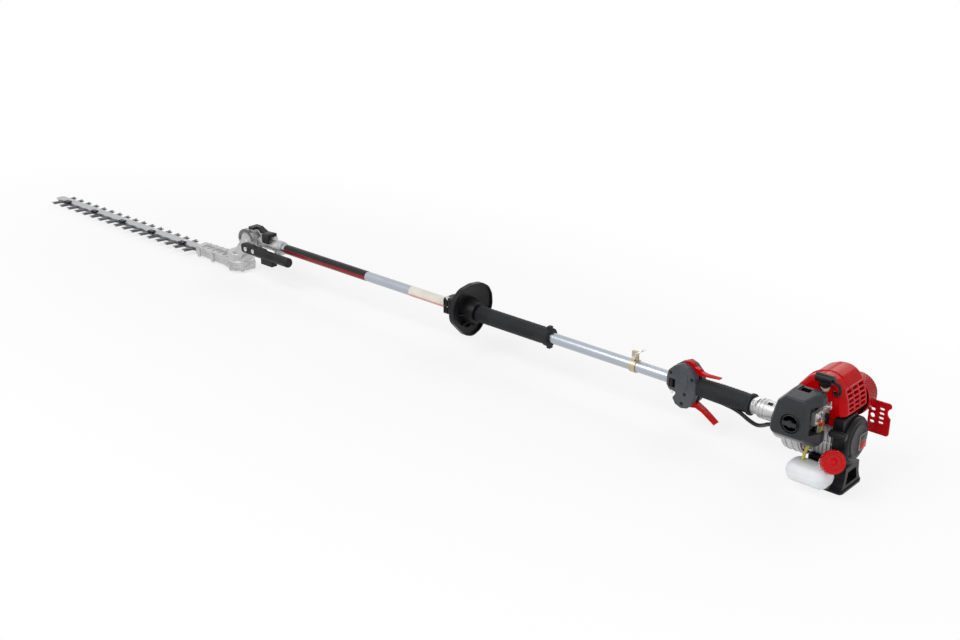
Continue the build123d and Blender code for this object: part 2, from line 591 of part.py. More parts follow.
def housing_half(hand):
    """One half of the throttle housing; hand -1 is the near side, +1 the far side."""
    with BuildPart() as piece:
        with BuildSketch(side(0)) as outline:
            Polygon(*[(x, AXIS_Z + z) for x, z in HOUSING_OUTLINE], align=None)
            fillet(outline.vertices(), HOUSING_ROUND)
        extrude(amount=-hand * HOUSING_HALF)
        fillet(piece.faces().sort_by(Axis.Y)[-1 if hand > 0 else 0].edges(), 3.0)
        bar_x(TUBE_R, -360, -280, mode=Mode.SUBTRACT)
        wide = (-TRIGGER_HALF - GAP, TRIGGER_HALF + GAP)
        block((-328, -280), wide, (AXIS_Z - 60, AXIS_Z - 15), Mode.SUBTRACT)
        thin = (-LOCKOUT_HALF - GAP, LOCKOUT_HALF + GAP)
        block((-334, -280), thin, (AXIS_Z + 14, AXIS_Z + 50), Mode.SUBTRACT)
        block((SWITCH_X[0] - 4, SWITCH_X[1] + 4), (-20, -13.5), (AXIS_Z - 8, AXIS_Z + 9), Mode.SUBTRACT)
        for x, z in (TRIGGER_PIN, LOCKOUT_PIN):
            bar_y(LEVER_R + RUN, -14.5, 14.5, x=x, z=z, mode=Mode.SUBTRACT)
        for x, z in HOUSING_SCREWS:
            bar_y(1.8, -25, 14, x=x, z=AXIS_Z + z, mode=Mode.SUBTRACT)
        for x, z in HOUSING_SCREWS + PLATE_SCREWS:
            bar_y(3.6, -25, -15, x=x, z=AXIS_Z + z, mode=Mode.SUBTRACT)
        for x, z in PLATE_SCREWS:
            bar_y(1.8, -16, -9, x=x, z=AXIS_Z + z, mode=Mode.SUBTRACT)
    return piece


save(housing_half(-1), "control_housing_left")
save(housing_half(1), "control_housing_right")

# Screws that close the housing
with BuildPart() as housing_screws:
    for x, z in HOUSING_SCREWS:
        bar_y(1.75, -15, 13.5, x=x, z=AXIS_Z + z)
    for x, z in PLATE_SCREWS:
        bar_y(1.75, -15, -9, x=x, z=AXIS_Z + z)
    for x, z in HOUSING_SCREWS + PLATE_SCREWS:
        bar_y(3.4, -18, -15, x=x, z=AXIS_Z + z)
save(housing_screws, "housing_screws")

# Throttle trigger: a channel lever below the housing
with BuildPart() as throttle_trigger:
    with BuildSketch(side(TRIGGER_HALF)):
        Polygon(
            (TRIGGER_PIN[0] - 6, TRIGGER_PIN[1] + 4),
            (TRIGGER_PIN[0] + 4, TRIGGER_PIN[1] + 6),
            (TRIGGER_PIN[0] + 22, TRIGGER_PIN[1] - 1),
            (TRIGGER_PIN[0] + 34, TRIGGER_PIN[1] - 7),
            (TRIGGER_PIN[0] + 46, TRIGGER_PIN[1] - 13),
            (TRIGGER_PIN[0] + 60, TRIGGER_PIN[1] - 22),
            (TRIGGER_PIN[0] + 74, TRIGGER_PIN[1] - 32),
            (TRIGGER_PIN[0] + 71, TRIGGER_PIN[1] - 36),
            (TRIGGER_PIN[0] + 56, TRIGGER_PIN[1] - 26.5),
            (TRIGGER_PIN[0] + 43, TRIGGER_PIN[1] - 18.5),
            (TRIGGER_PIN[0] + 30, TRIGGER_PIN[1] - 14),
            (TRIGGER_PIN[0] + 14, TRIGGER_PIN[1] - 17),
            (TRIGGER_PIN[0] - 6, TRIGGER_PIN[1] - 14),
            align=None,
        )
    extrude(amount=2 * TRIGGER_HALF)
    bar_y(LEVER_R, -14, 14, x=TRIGGER_PIN[0], z=TRIGGER_PIN[1])
save(throttle_trigger, "throttle_trigger")

# Lockout lever: a thin palm lever above the grip
with BuildPart() as lockout_lever:
    with BuildSketch(side(LOCKOUT_HALF)):
        Polygon(
            (LOCKOUT_PIN[0] - 5, LOCKOUT_PIN[1] - 4),
            (LOCKOUT_PIN[0] + 6, LOCKOUT_PIN[1] - 4),
            (LOCKOUT_PIN[0] + 28, LOCKOUT_PIN[1] + 1.8),
            (LOCKOUT_PIN[0] + 36, LOCKOUT_PIN[1] + 3.2),
            (LOCKOUT_PIN[0] + 46, LOCKOUT_PIN[1] + 3.2),
            (LOCKOUT_PIN[0] + 81, LOCKOUT_PIN[1] + 7.2),
            (LOCKOUT_PIN[0] + 81, LOCKOUT_PIN[1] + 9),
            (LOCKOUT_PIN[0] + 54, LOCKOUT_PIN[1] + 8),
            (LOCKOUT_PIN[0] + 43, LOCKOUT_PIN[1] + 10),
            (LOCKOUT_PIN[0] + 38, LOCKOUT_PIN[1] + 14.5),
            (LOCKOUT_PIN[0] + 29, LOCKOUT_PIN[1] + 16),
            (LOCKOUT_PIN[0] + 24, LOCKOUT_PIN[1] + 22),
            (LOCKOUT_PIN[0] + 18, LOCKOUT_PIN[1] + 25),
            (LOCKOUT_PIN[0] + 8, LOCKOUT_PIN[1] + 23),
            (LOCKOUT_PIN[0] - 5, LOCKOUT_PIN[1] + 12),
            align=None,
        )
    extrude(amount=2 * LOCKOUT_HALF)
    bar_y(LEVER_R, -14, 14, x=LOCKOUT_PIN[0], z=LOCKOUT_PIN[1])
save(lockout_lever, "lockout_lever")

# Stop switch: a sliding button in a recess of the near half
with BuildPart() as stop_switch:
    block(SWITCH_X, (-22, -13.9), (AXIS_Z - 7, AXIS_Z + 8))
    fillet(stop_switch.edges().group_by(Axis.Y)[0], 1.5)
save(stop_switch, "stop_switch")

# Rear grip: soft sleeve, flared at the engine end, with the throttle cable coming out of its underside
CABLE_R = 3.6
CABLE_PATH = [
    (-236, -4, AXIS_Z - 14.5), (-212, -8, AXIS_Z - 14.5), (-192, -13, AXIS_Z - 16.5),
    (-172, -18, AXIS_Z - 22.5), (-152, -25, AXIS_Z - 23), (-135, -34, AXIS_Z - 14),
    (-117, -48, AXIS_Z), (-93, -57, AXIS_Z + 9), (-70, -54, AXIS_Z + 24), (-49.4, -50, AXIS_Z + 53),
]
CABLE_ARCS = arc_radii(CABLE_PATH)
with BuildPart() as rear_grip:
    with BuildSketch(POLE_SIDE):
        Polygon(
            (REAR_GRIP_X[0], TUBE_R),
            (REAR_GRIP_X[0], 17),
            (REAR_GRIP_X[0] + 45, 18),
            (REAR_GRIP_X[1] - 8, 17.5),
            (REAR_GRIP_X[1] - 5, 20),
            (REAR_GRIP_X[1], 20),
            (REAR_GRIP_X[1], TUBE_R),
            align=None,
        )
    revolve(axis=POLE_AXIS)
    with BuildLine() as channel_line:
        FilletPolyline(*CABLE_PATH, radius=CABLE_ARCS)
    with BuildSketch(Plane(origin=CABLE_PATH[0], z_dir=channel_line.line % 0)):
        Circle(CABLE_R + 0.1)
    sweep(path=channel_line.line, mode=Mode.SUBTRACT)
save(rear_grip, "rear_grip")

with BuildPart() as throttle_cable:
    with BuildLine() as cable_line:
        FilletPolyline(*CABLE_PATH, radius=CABLE_ARCS)
    with BuildSketch(Plane(origin=CABLE_PATH[0], z_dir=cable_line.line % 0)):
        Circle(CABLE_R)
    sweep(path=cable_line.line)
save(throttle_cable, "throttle_cable")

# Clutch housing: a slotted collar that clamps the pole, then a bell over the clutch
BELL_X = (-118.0, -84.0)
BELL_R = 40.0
DRUM_CUP_R = 30.0
DRUM_CUP_X = (-112.0, -90.0)
with BuildPart() as clutch_housing:
    bar_x(14.5, *COLLAR_X)
    bar_x(17.5, *NECK_X)
    bar_x(BELL_R, *BELL_X)
    fillet(clutch_housing.edges().filter_by(GeomType.CIRCLE).group_by(Axis.X)[-2], 4.0)
    bar_x(TUBE_R, COLLAR_X[0] - 1, TUBE_REAR_X, mode=Mode.SUBTRACT)
    bar_x(9.0, TUBE_REAR_X, BELL_X[0] + 5, mode=Mode.SUBTRACT)
    bar_x(BELL_R - 4, BELL_X[0] + 4, BELL_X[1] + 1, mode=Mode.SUBTRACT)
    block((COLLAR_X[0] - 1, COLLAR_X[1] + 10), (-1, 1), (AXIS_Z, AXIS_Z + 20), Mode.SUBTRACT)
save(clutch_housing, "clutch_housing")

# Centrifugal clutch: drum on the drive shaft, shoes on the crankshaft
with BuildPart() as clutch_drum:
    bar_x(DRUM_CUP_R, *DRUM_CUP_X)
    bar_x(DRUM_CUP_R - 2.5, DRUM_CUP_X[0] + 3, DRUM_CUP_X[1] + 1, mode=Mode.SUBTRACT)
    bar_x(7.0, DRUM_CUP_X[0] - 10, DRUM_CUP_X[0] + 1)
    bar_x(SHAFT_R, DRUM_CUP_X[0] - 11, CLUTCH_X - 6, mode=Mode.SUBTRACT)
save(clutch_drum, "clutch_drum")

SHOE_R = DRUM_CUP_R - 3.5
CRANK_R = 6.0
with BuildPart() as clutch_shoes:
    bar_x(SHOE_R, DRUM_CUP_X[0] + 5, DRUM_CUP_X[1] - 1)
    bar_x(CRANK_R, DRUM_CUP_X[0], DRUM_CUP_X[1], mode=Mode.SUBTRACT)
    block((DRUM_CUP_X[0], DRUM_CUP_X[1]), (-2.5, 2.5), (AXIS_Z + 12, AXIS_Z + 40), Mode.SUBTRACT)
    block((DRUM_CUP_X[0], DRUM_CUP_X[1]), (-2.5, 2.5), (AXIS_Z - 40, AXIS_Z - 12), Mode.SUBTRACT)
save(clutch_shoes, "clutch_shoes")

# Crankshaft with its two webs and pin
CASE_X = (-56.0, -4.0)
CRANK_X = (DRUM_CUP_X[0] + 5, 2.0)
WEB_R = 22.0
with BuildPart() as crankshaft:
    bar_x(CRANK_R - 0.01, CRANK_X[0], -36)
    bar_x(WEB_R, -44, -36)
    bar_x(5.0, -36, -24, z=AXIS_Z + 13)
    bar_x(WEB_R, -24, -16)
    bar_x(CRANK_R - 0.01, -24, CRANK_X[1])
save(crankshaft, "crankshaft")

# Flywheel with cooling fan blades
FLYWHEEL_X = (-80.0, -62.0)
FLYWHEEL_R = 44.0
with BuildPart() as flywheel:
    bar_x(FLYWHEEL_R, FLYWHEEL_X[1] - 6, FLYWHEEL_X[1])
    bar_x(14.0, *FLYWHEEL_X)
    with Locations(Location((FLYWHEEL_X[1] - 12, 0, AXIS_Z), (0, 90, 0))):
        with PolarLocations(FLYWHEEL_R - 11, 14):
            Box(20, 2.0, 12)
    bar_x(CRANK_R, FLYWHEEL_X[0] - 1, FLYWHEEL_X[1] + 1, mode=Mode.SUBTRACT)
save(flywheel, "flywheel")

# Seat of the spark plug in the head: it leans towards the near side
SHROUD_Y = (-36.5, 46.0)
PLUG_SEAT = Plane(origin=(-28, -18, AXIS_Z + 76), x_dir=(1, 0, 0), z_dir=(0, -0.6, 0.8))

# Crankcase with its bearings' bores, and the finned cylinder on top
CASE_HALF = 32.0
CASE_Z = (AXIS_Z - 36.0, AXIS_Z + 28.0)
CYL_X = -30.0
CYL_TOP = AXIS_Z + 97.0
with BuildPart() as crankcase:
    block(CASE_X, (-CASE_HALF, CASE_HALF), CASE_Z)
    fillet(crankcase.edges().filter_by(Axis.X), 10.0)
    bar_x(WEB_R + 2, -47, -13, mode=Mode.SUBTRACT)
    bar_x(CRANK_R + RUN, CASE_X[0] - 1, CASE_X[1] + 1, mode=Mode.SUBTRACT)
    bar_z(15.0, AXIS_Z, CASE_Z[1] + 1, x=CYL_X, mode=Mode.SUBTRACT)
save(crankcase, "crankcase")

with BuildPart() as cylinder:
    bar_z(20.0, CASE_Z[1], CYL_TOP, x=CYL_X)
    with Locations(*[(CYL_X, 0, CASE_Z[1] + 10 + 8 * i) for i in range(8)]):
        Box(46, 60, 2.5)
    block((CYL_X - 12, CYL_X + 12), (-38, 38), (CASE_Z[1] + 14, CASE_Z[1] + 40))
    bar_z(15.0, CASE_Z[1] - 1, CYL_TOP - 10, x=CYL_X, mode=Mode.SUBTRACT)
    bar_y(7.0, -40, -10, x=CYL_X, z=CASE_Z[1] + 27, mode=Mode.SUBTRACT)
    bar_y(7.0, 10, 40, x=CYL_X, z=CASE_Z[1] + 27, mode=Mode.SUBTRACT)
    with Locations(PLUG_SEAT.location):
        Cylinder(5.0, 40, mode=Mode.SUBTRACT)
    with Locations(PLUG_SEAT.offset(15.9).location):
        Cylinder(10.0, 40, align=FROM_BASE, mode=Mode.SUBTRACT)
save(cylinder, "cylinder")

# Spark plug leaning out of the head towards the near side, under its boot
with BuildPart() as spark_plug:
    with Locations(PLUG_SEAT.location):
        Cylinder(4.9, 16, align=FROM_BASE)
    with Locations(PLUG_SEAT.offset(16).location):
        Cylinder(9.0, 8, align=FROM_BASE)
    with Locations(PLUG_SEAT.offset(24).location):
        Cylinder(4.9, 17, align=FROM_BASE)
save(spark_plug, "spark_plug")

# Plug boot: an elbow over the plug, with the short lead that dives into the shroud
LEAD_R = 2.6
ELBOW = PLUG_SEAT.offset(46).origin
LEAD_PATH = [
    (-11, ELBOW.Y, ELBOW.Z),
    (3, ELBOW.Y - 3, ELBOW.Z - 3),
    (7, ELBOW.Y - 2, ELBOW.Z - 17),
    (-6, ELBOW.Y + 2, ELBOW.Z - 26),
    (-8, SHROUD_Y[0] + 2, ELBOW.Z - 26),
]
with BuildPart() as plug_boot:
    with Locations(PLUG_SEAT.offset(27).location):
        Cylinder(8.5, 19, align=FROM_BASE)
    bar_x(8.0, -39, -9, y=ELBOW.Y, z=ELBOW.Z)
    with Locations(PLUG_SEAT.offset(20).location):
        Cylinder(5.0, 22, align=FROM_BASE, mode=Mode.SUBTRACT)
    with BuildLine() as lead_line:
        FilletPolyline(*LEAD_PATH, radius=5)
    with BuildSketch(Plane(origin=LEAD_PATH[0], z_dir=lead_line.line % 0)):
        Circle(LEAD_R)
    sweep(path=lead_line.line)
save(plug_boot, "plug_boot")

# Engine shroud: a fan case around the flywheel and a dome over the cylinder
SHROUD_WALL = 3.0
FAN_CASE_X = (-92.0, -56.0)
FAN_CASE_R = 50.0
SHROUD_OUTLINE = [
    (-88, -12), (-88, 52), (-80, 80), (-60, 103), (-40, 112), (-22, 113), (-7, 106), (3, 93),
    (10, 73), (13, 50), (-3, 48), (-3, -12),
]
DOME_ROUND = 30.0
PORT_Z = AXIS_Z + 55.0
with BuildPart() as engine_shroud:
    with BuildSketch(side(SHROUD_Y[1])):
        Polygon(*[(x, AXIS_Z + z) for x, z in SHROUD_OUTLINE], align=None)
    extrude(amount=SHROUD_Y[1] - SHROUD_Y[0])
    dome = engine_shroud.edges().filter_by(Axis.Y).filter_by(lambda e: e.center().Z > AXIS_Z + 60)
    fillet(dome, DOME_ROUND)
    rims = engine_shroud.faces().filter_by(Axis.Y).edges()
    fillet(rims.filter_by(lambda e: e.center().Z > AXIS_Z + 54), 10.0)
    bar_x(FAN_CASE_R, *FAN_CASE_X)
    with BuildSketch(side(SHROUD_Y[1] - SHROUD_WALL)):
        Polygon(*[(x, AXIS_Z + z) for x, z in SHROUD_OUTLINE], align=None)
        offset(amount=-SHROUD_WALL, kind=Kind.INTERSECTION, mode=Mode.REPLACE)
    extrude(amount=SHROUD_Y[1] - SHROUD_Y[0] - 2 * SHROUD_WALL, mode=Mode.SUBTRACT)
    bar_x(FAN_CASE_R - SHROUD_WALL, FAN_CASE_X[0] + SHROUD_WALL, FAN_CASE_X[1] + 1, mode=Mode.SUBTRACT)
    bar_x(BELL_R + 0.1, FAN_CASE_X[0] - 1, FAN_CASE_X[0] + 5, mode=Mode.SUBTRACT)
    inside_y = (SHROUD_Y[0] + SHROUD_WALL, SHROUD_Y[1] - SHROUD_WALL)
    block((-60, 0), inside_y, (AXIS_Z - 60, AXIS_Z + 40), Mode.SUBTRACT)
    block((FAN_CASE_X[1], 0), (SHROUD_Y[0] - 1, 0), (AXIS_Z - 60, AXIS_Z + 28), Mode.SUBTRACT)
    block((CYL_X - 13, CYL_X + 13), (-60, 60), (PORT_Z - 14, PORT_Z + 14), Mode.SUBTRACT)
    with Locations(PLUG_SEAT.location):
        Cylinder(11, 120, mode=Mode.SUBTRACT)
    block((-14, 0), (SHROUD_Y[0] - 1, SHROUD_Y[0] + 4), (ELBOW.Z - 30, ELBOW.Z - 22), Mode.SUBTRACT)
    with Locations(*[(5, y, AXIS_Z + z) for y in (-14, 6, 26) for z in (56, 64, 72, 80, 88)]):
        Box(22, 14, 4.5, mode=Mode.SUBTRACT)
save(engine_shroud, "engine_shroud")

# Muffler on the far side and its guard: a slotted plate that runs on behind the engine
MUFFLER_X = (-58.0, 4.0)
MUFFLER_Y = (50.0, 74.0)
MUFFLER_Z = (AXIS_Z + 22.0, AXIS_Z + 78.0)
with BuildPart() as muffler:
    block(MUFFLER_X, MUFFLER_Y, MUFFLER_Z)
    fillet(muffler.edges().filter_by(Axis.Y), 24.0)
    fillet(muffler.edges().group_by(Axis.Y)[-1], 6.0)
    bar_y(9.0, 38.2, MUFFLER_Y[0] + 2, x=CYL_X, z=PORT_Z)
    bar_y(5.5, 38, MUFFLER_Y[0] + 4, x=CYL_X, z=PORT_Z, mode=Mode.SUBTRACT)
save(muffler, "muffler")

SHIELD_X = (-62.0, 14.0)
SHIELD_Y = (47.0, 80.0)
SHIELD_Z = (AXIS_Z + 16.0, AXIS_Z + 86.0)
PLATE_X = (2.0, 42.0)
PLATE_Y = (76.0, 78.5)
PLATE_Z = (AXIS_Z - 18.0, AXIS_Z + 43.0)
with BuildPart() as muffler_shield:
    block(SHIELD_X, SHIELD_Y, SHIELD_Z)
    fillet(muffler_shield.edges().filter_by(Axis.Y), 33.0)
    fillet(muffler_shield.edges().group_by(Axis.Y)[-1], 5.0)
    with BuildSketch(side(SHIELD_Y[1] - 2)):
        with Locations((sum(SHIELD_X) / 2, sum(SHIELD_Z) / 2)):
            RectangleRounded(SHIELD_X[1] - SHIELD_X[0] - 4, SHIELD_Z[1] - SHIELD_Z[0] - 4, 31)
    extrude(amount=SHIELD_Y[1] - 1 - SHIELD_Y[0], mode=Mode.SUBTRACT)
    with BuildSketch(side(PLATE_Y[1])):
        with Locations(((PLATE_X[0] + PLATE_X[1]) / 2, (PLATE_Z[0] + PLATE_Z[1]) / 2)):
            RectangleRounded(PLATE_X[1] - PLATE_X[0], PLATE_Z[1] - PLATE_Z[0], 5)
        with Locations((PLATE_X[1] + 5, AXIS_Z + 25)):
            Circle(11, mode=Mode.SUBTRACT)
        with Locations((26, AXIS_Z + 17)):
            with GridLocations(0, 8.5, 1, 4):
                SlotOverall(9, 4.2, mode=Mode.SUBTRACT)
        with Locations((10, AXIS_Z + 14)):
            Circle(4.2, mode=Mode.SUBTRACT)
            with GridLocations(0, 23, 1, 2):
                SlotOverall(8, 5, mode=Mode.SUBTRACT)
    extrude(amount=PLATE_Y[1] - PLATE_Y[0])
save(muffler_shield, "muffler_shield")

# Carburettor between the cylinder's inlet and the air cleaner
CARB_X = (-46.0, -14.0)
CARB_Y = (-60.0, -38.2)
CARB_Z = (PORT_Z - 15.0, PORT_Z + 15.0)
CARB_SIDE_X = (-21.5, -14.0)  # the linkage side, which reaches forward beside the filter
BULB_AT = (CYL_X - 4, -49.0)
BULB_R = 8.0
with BuildPart() as carburettor:
    block(CARB_X, CARB_Y, CARB_Z)
    fillet(carburettor.edges().filter_by(Axis.Y), 3.0)
    block(CARB_SIDE_X, (-86, CARB_Y[0] + 8), (CARB_Z[0] + 4, CARB_Z[1] - 4))
    bar_y(6.0, CARB_Y[0] - 1, CARB_Y[1] + 1, x=CYL_X, z=PORT_Z, mode=Mode.SUBTRACT)
    bar_z(BULB_R + 2.5, CARB_Z[0] - 7, CARB_Z[0] + 1, *BULB_AT)
    bar_z(BULB_R + GAP, CARB_Z[0] - 8, CARB_Z[0], *BULB_AT, mode=Mode.SUBTRACT)
save(carburettor, "carburettor")

# Primer bulb: a soft dome in a ring under the carburettor
with BuildPart() as primer_bulb:
    with Locations((*BULB_AT, CARB_Z[0] - 4)):
        Sphere(BULB_R, arc_size1=-90, arc_size2=0, align=(Align.CENTER, Align.CENTER, Align.MAX))
save(primer_bulb, "primer_bulb")

# Choke lever on the carburettor's rear face
CHOKE_PIN = (CARB_X[1] + 0.4, -50.0, PORT_Z - 4.0)
with BuildPart() as choke_lever:
    bar_x(4.5, CHOKE_PIN[0], CHOKE_PIN[0] + 5, y=CHOKE_PIN[1], z=CHOKE_PIN[2])
    block(
        (CHOKE_PIN[0] + 2, CHOKE_PIN[0] + 5),
        (CHOKE_PIN[1] - 3, CHOKE_PIN[1] + 3),
        (CHOKE_PIN[2] - 14, CHOKE_PIN[2]),
    )
save(choke_lever, "choke_lever")

# Air cleaner: base, filter and a hood that narrows towards the wing knob and is open beside the carburettor
COVER_Y = (-112.0, -66.0)
COVER_RIM_Y = -80.0
COVER_OUTLINE = [(-97, 3), (-97, 30), (-87, 68), (-58, 100), (-6, 100), (-6, 3)]
FACE_OUTLINE = [(-80, 24), (-80, 38), (-70, 82), (-58, 94), (-21, 94), (-21, 24)]
COVER_CORNER = 13.0
FACE_CORNER = 7.0
HOOD_Z = (AXIS_Z + 31.0, AXIS_Z + 80.0)  # the opening in the hood's rear wall
KNOB = (-45.0, AXIS_Z + 48.0)
KNOB_R = 16.0
STUD_R = 3.5


def rounded(points, corner, inset=0.0):
    """Outline with rounded corners in an upright plane, pulled in by inset."""
    Polygon(*[(x, AXIS_Z + z) for x, z in points], align=None)
    if inset:
        offset(amount=-inset, kind=Kind.INTERSECTION, mode=Mode.REPLACE)
    fillet(vertices(), corner - inset)


BASE_END = -22.5
with BuildPart() as air_cleaner_base:
    with BuildSketch(side(CARB_Y[0])):
        rounded(COVER_OUTLINE, COVER_CORNER, 4)
    extrude(amount=CARB_Y[0] - COVER_Y[1])
    block((BASE_END, 0), (COVER_Y[1] - 1, CARB_Y[0] + 1), (AXIS_Z, AXIS_Z + 110), Mode.SUBTRACT)
    bar_y(6.0, COVER_Y[1] - 1, CARB_Y[0] + 1, x=CYL_X, z=PORT_Z, mode=Mode.SUBTRACT)
    bar_y(STUD_R, COVER_Y[0] + 12, COVER_Y[1] + 1, x=KNOB[0], z=KNOB[1])
save(air_cleaner_base, "air_cleaner_base")

with BuildPart() as air_cleaner_cover:
    with BuildSketch(side(COVER_Y[1])):
        rounded(COVER_OUTLINE, COVER_CORNER)
    extrude(amount=COVER_Y[1] - COVER_RIM_Y)
    with BuildSketch(side(COVER_RIM_Y)):
        rounded(COVER_OUTLINE, COVER_CORNER)
    with BuildSketch(side(COVER_Y[0])):
        rounded(FACE_OUTLINE, FACE_CORNER)
    loft()
    fillet(air_cleaner_cover.edges().group_by(Axis.Y)[0], 4.0)
    with BuildSketch(side(COVER_Y[1] + 1)):
        rounded(COVER_OUTLINE, COVER_CORNER, 3)
    extrude(amount=COVER_Y[1] + 1 - COVER_RIM_Y, mode=Mode.SUBTRACT)
    with BuildSketch(side(COVER_RIM_Y + 0.1)):
        rounded(FACE_OUTLINE, FACE_CORNER, 4)
    extrude(amount=17, mode=Mode.SUBTRACT)
    block((-26, 0), (-101, COVER_Y[1] + 1), HOOD_Z, Mode.SUBTRACT)
    bar_y(13.0, -86, COVER_Y[1] + 1, x=-40, z=AXIS_Z + 107, mode=Mode.SUBTRACT)
    bar_y(KNOB_R + 1, COVER_Y[0] - 1, COVER_Y[0] + 9, x=KNOB[0], z=KNOB[1], mode=Mode.SUBTRACT)
    bar_y(4.2, COVER_Y[0] - 1, COVER_Y[1], x=KNOB[0], z=KNOB[1], mode=Mode.SUBTRACT)
save(air_cleaner_cover, "air_cleaner_cover")

with BuildPart() as air_filter:
    with BuildSketch(side(COVER_Y[1])):
        rounded(FACE_OUTLINE, FACE_CORNER, 5)
    extrude(amount=COVER_Y[1] - COVER_RIM_Y + 12)
    bar_y(5.0, -100, -60, x=KNOB[0], z=KNOB[1], mode=Mode.SUBTRACT)
save(air_filter, "air_filter")

with BuildPart() as cover_knob:
    bar_y(KNOB_R, COVER_Y[0] + 1, COVER_Y[0] + 8.6, x=KNOB[0], z=KNOB[1])
    block((KNOB[0] - 13, KNOB[0] + 13), (COVER_Y[0] - 3, COVER_Y[0] + 2), (KNOB[1] - 3.5, KNOB[1] + 3.5))
    bar_y(STUD_R + RUN, COVER_Y[0] + 4, COVER_Y[0] + 20, x=KNOB[0], z=KNOB[1], mode=Mode.SUBTRACT)
save(cover_knob, "cover_knob")

# Fuel tank: a rounded translucent bottle with its filler neck towards the rear near corner
TANK_X = (-66.0, 12.0)
TANK_Y = (-82.0, -37.0)
TANK_Z = (AXIS_Z - 76.0, AXIS_Z - 37.0)
TANK_WALL = 2.5
TANK_ROUND = 17.0
FILLER = Vector(0.55, -0.65, 0.52).normalized()
CAP_FACE = Vector(20, -73, AXIS_Z - 14)
CAP_R = 20.5
CAP_DEPTH = 16.0
NECK_R = 15.0
SHOULDER_R = 17.0        # the bottle swells into a ball under its neck
SHOULDER_DEPTH = 34.0


def filler_plane(depth):
    """Plane across the filler neck at a depth below the cap's outer face."""
    return Plane(origin=CAP_FACE - FILLER * depth, z_dir=FILLER)


with BuildPart() as tank_hollow:
    block(*[(low + TANK_WALL, high - TANK_WALL) for low, high in (TANK_X, TANK_Y, TANK_Z)])
    fillet(tank_hollow.edges(), TANK_ROUND - TANK_WALL)
    with Locations(filler_plane(SHOULDER_DEPTH).location):
        Sphere(SHOULDER_R - TANK_WALL)
        Cylinder(NECK_R - TANK_WALL, SHOULDER_DEPTH, align=FROM_BASE)

with BuildPart() as fuel_tank:
    block(TANK_X, TANK_Y, TANK_Z)
    fillet(fuel_tank.edges(), TANK_ROUND)
    with Locations(filler_plane(SHOULDER_DEPTH).location):
        Sphere(SHOULDER_R)
        Cylinder(NECK_R, SHOULDER_DEPTH - 4, align=FROM_BASE)
    add(tank_hollow.part, mode=Mode.SUBTRACT)
save(fuel_tank, "fuel_tank")

with BuildPart() as fuel_cap:
    with Locations(filler_plane(CAP_DEPTH).location):
        Cylinder(CAP_R, CAP_DEPTH, align=FROM_BASE)
    chamfer(fuel_cap.edges().filter_by(GeomType.CIRCLE).sort_by(Axis.Z)[-1], 2.0)
    with Locations(filler_plane(CAP_DEPTH).location):
        Cylinder(NECK_R + RUN, CAP_DEPTH - 3.5, align=FROM_BASE, mode=Mode.SUBTRACT)
    with Locations(filler_plane(CAP_DEPTH / 2).location):
        with PolarLocations(CAP_R + 0.6, 24):
            Cylinder(1.5, CAP_DEPTH + 2, mode=Mode.SUBTRACT)
save(fuel_cap, "fuel_cap")

# Fuel line from the tank's top up to the carburettor
LINE_PATH = [
    (-42, -60, TANK_Z[1] + 0.9),
    (-38, -58, AXIS_Z - 14),
    (-22, -54, AXIS_Z + 10),
    (-18, -50, CARB_Z[0] - 1.2),
]
with BuildPart() as fuel_line:
    with BuildLine() as line_path:
        FilletPolyline(*LINE_PATH, radius=arc_radii(LINE_PATH))
    with BuildSketch(Plane(origin=LINE_PATH[0], z_dir=line_path.line % 0)):
        Circle(2.8)
    sweep(path=line_path.line)
save(fuel_line, "fuel_line")

# Recoil starter: round housing behind the crankcase with the pulley on its post
STARTER_X = (-2.6, 24.0)
STARTER_R = 40.0
STARTER_WALL = 3.0
PULLEY_R = 21.5
POST_R = 5.0
ROPE_R = 1.8
ROPE_Z = AXIS_Z + PULLEY_R + 2.4
with BuildPart() as starter_housing:
    bar_x(STARTER_R, *STARTER_X)
    fillet(starter_housing.edges().group_by(Axis.X)[-1], 7.0)
    block((STARTER_X[0], 15), (-42, 4), (AXIS_Z + 24, AXIS_Z + 45))
    bar_x(STARTER_R - STARTER_WALL, STARTER_X[0] - 1, STARTER_X[1] - STARTER_WALL, mode=Mode.SUBTRACT)
    block((STARTER_X[0] - 1, 12), (-38, 0), (AXIS_Z + 30, AXIS_Z + 41), Mode.SUBTRACT)
    bar_x(POST_R, 3.5, STARTER_X[1] - 1)
    for y, z in ((24, -23), (-24, -23), (26, 18)):
        bar_x(5.0, CASE_X[1], STARTER_X[1] - 1, y=y, z=AXIS_Z + z)
    bar_y(ROPE_R + 0.7, -60, -24, x=10, z=ROPE_Z, mode=Mode.SUBTRACT)
save(starter_housing, "starter_housing")

with BuildPart() as starter_pulley:
    bar_x(PULLEY_R, 5, 15)
    bar_x(PULLEY_R + 1.0, 8, 12, mode=Mode.SUBTRACT)
    bar_x(PULLEY_R - 6.0, 7, 13)
    bar_x(POST_R + RUN, 3, 17, mode=Mode.SUBTRACT)
save(starter_pulley, "starter_pulley")

# Starter handle: a cross bar on the end of the rope
HANDLE_BAR_Y = -52.0
with BuildPart() as starter_handle:
    bar_x(6.5, -3, 27, y=HANDLE_BAR_Y, z=ROPE_Z)
    fillet(starter_handle.edges().filter_by(GeomType.CIRCLE), 3.0)
    bar_y(5.0, HANDLE_BAR_Y, -43.5, x=10, z=ROPE_Z)
    bar_y(ROPE_R, HANDLE_BAR_Y, -6, x=10, z=ROPE_Z)
save(starter_handle, "starter_handle")

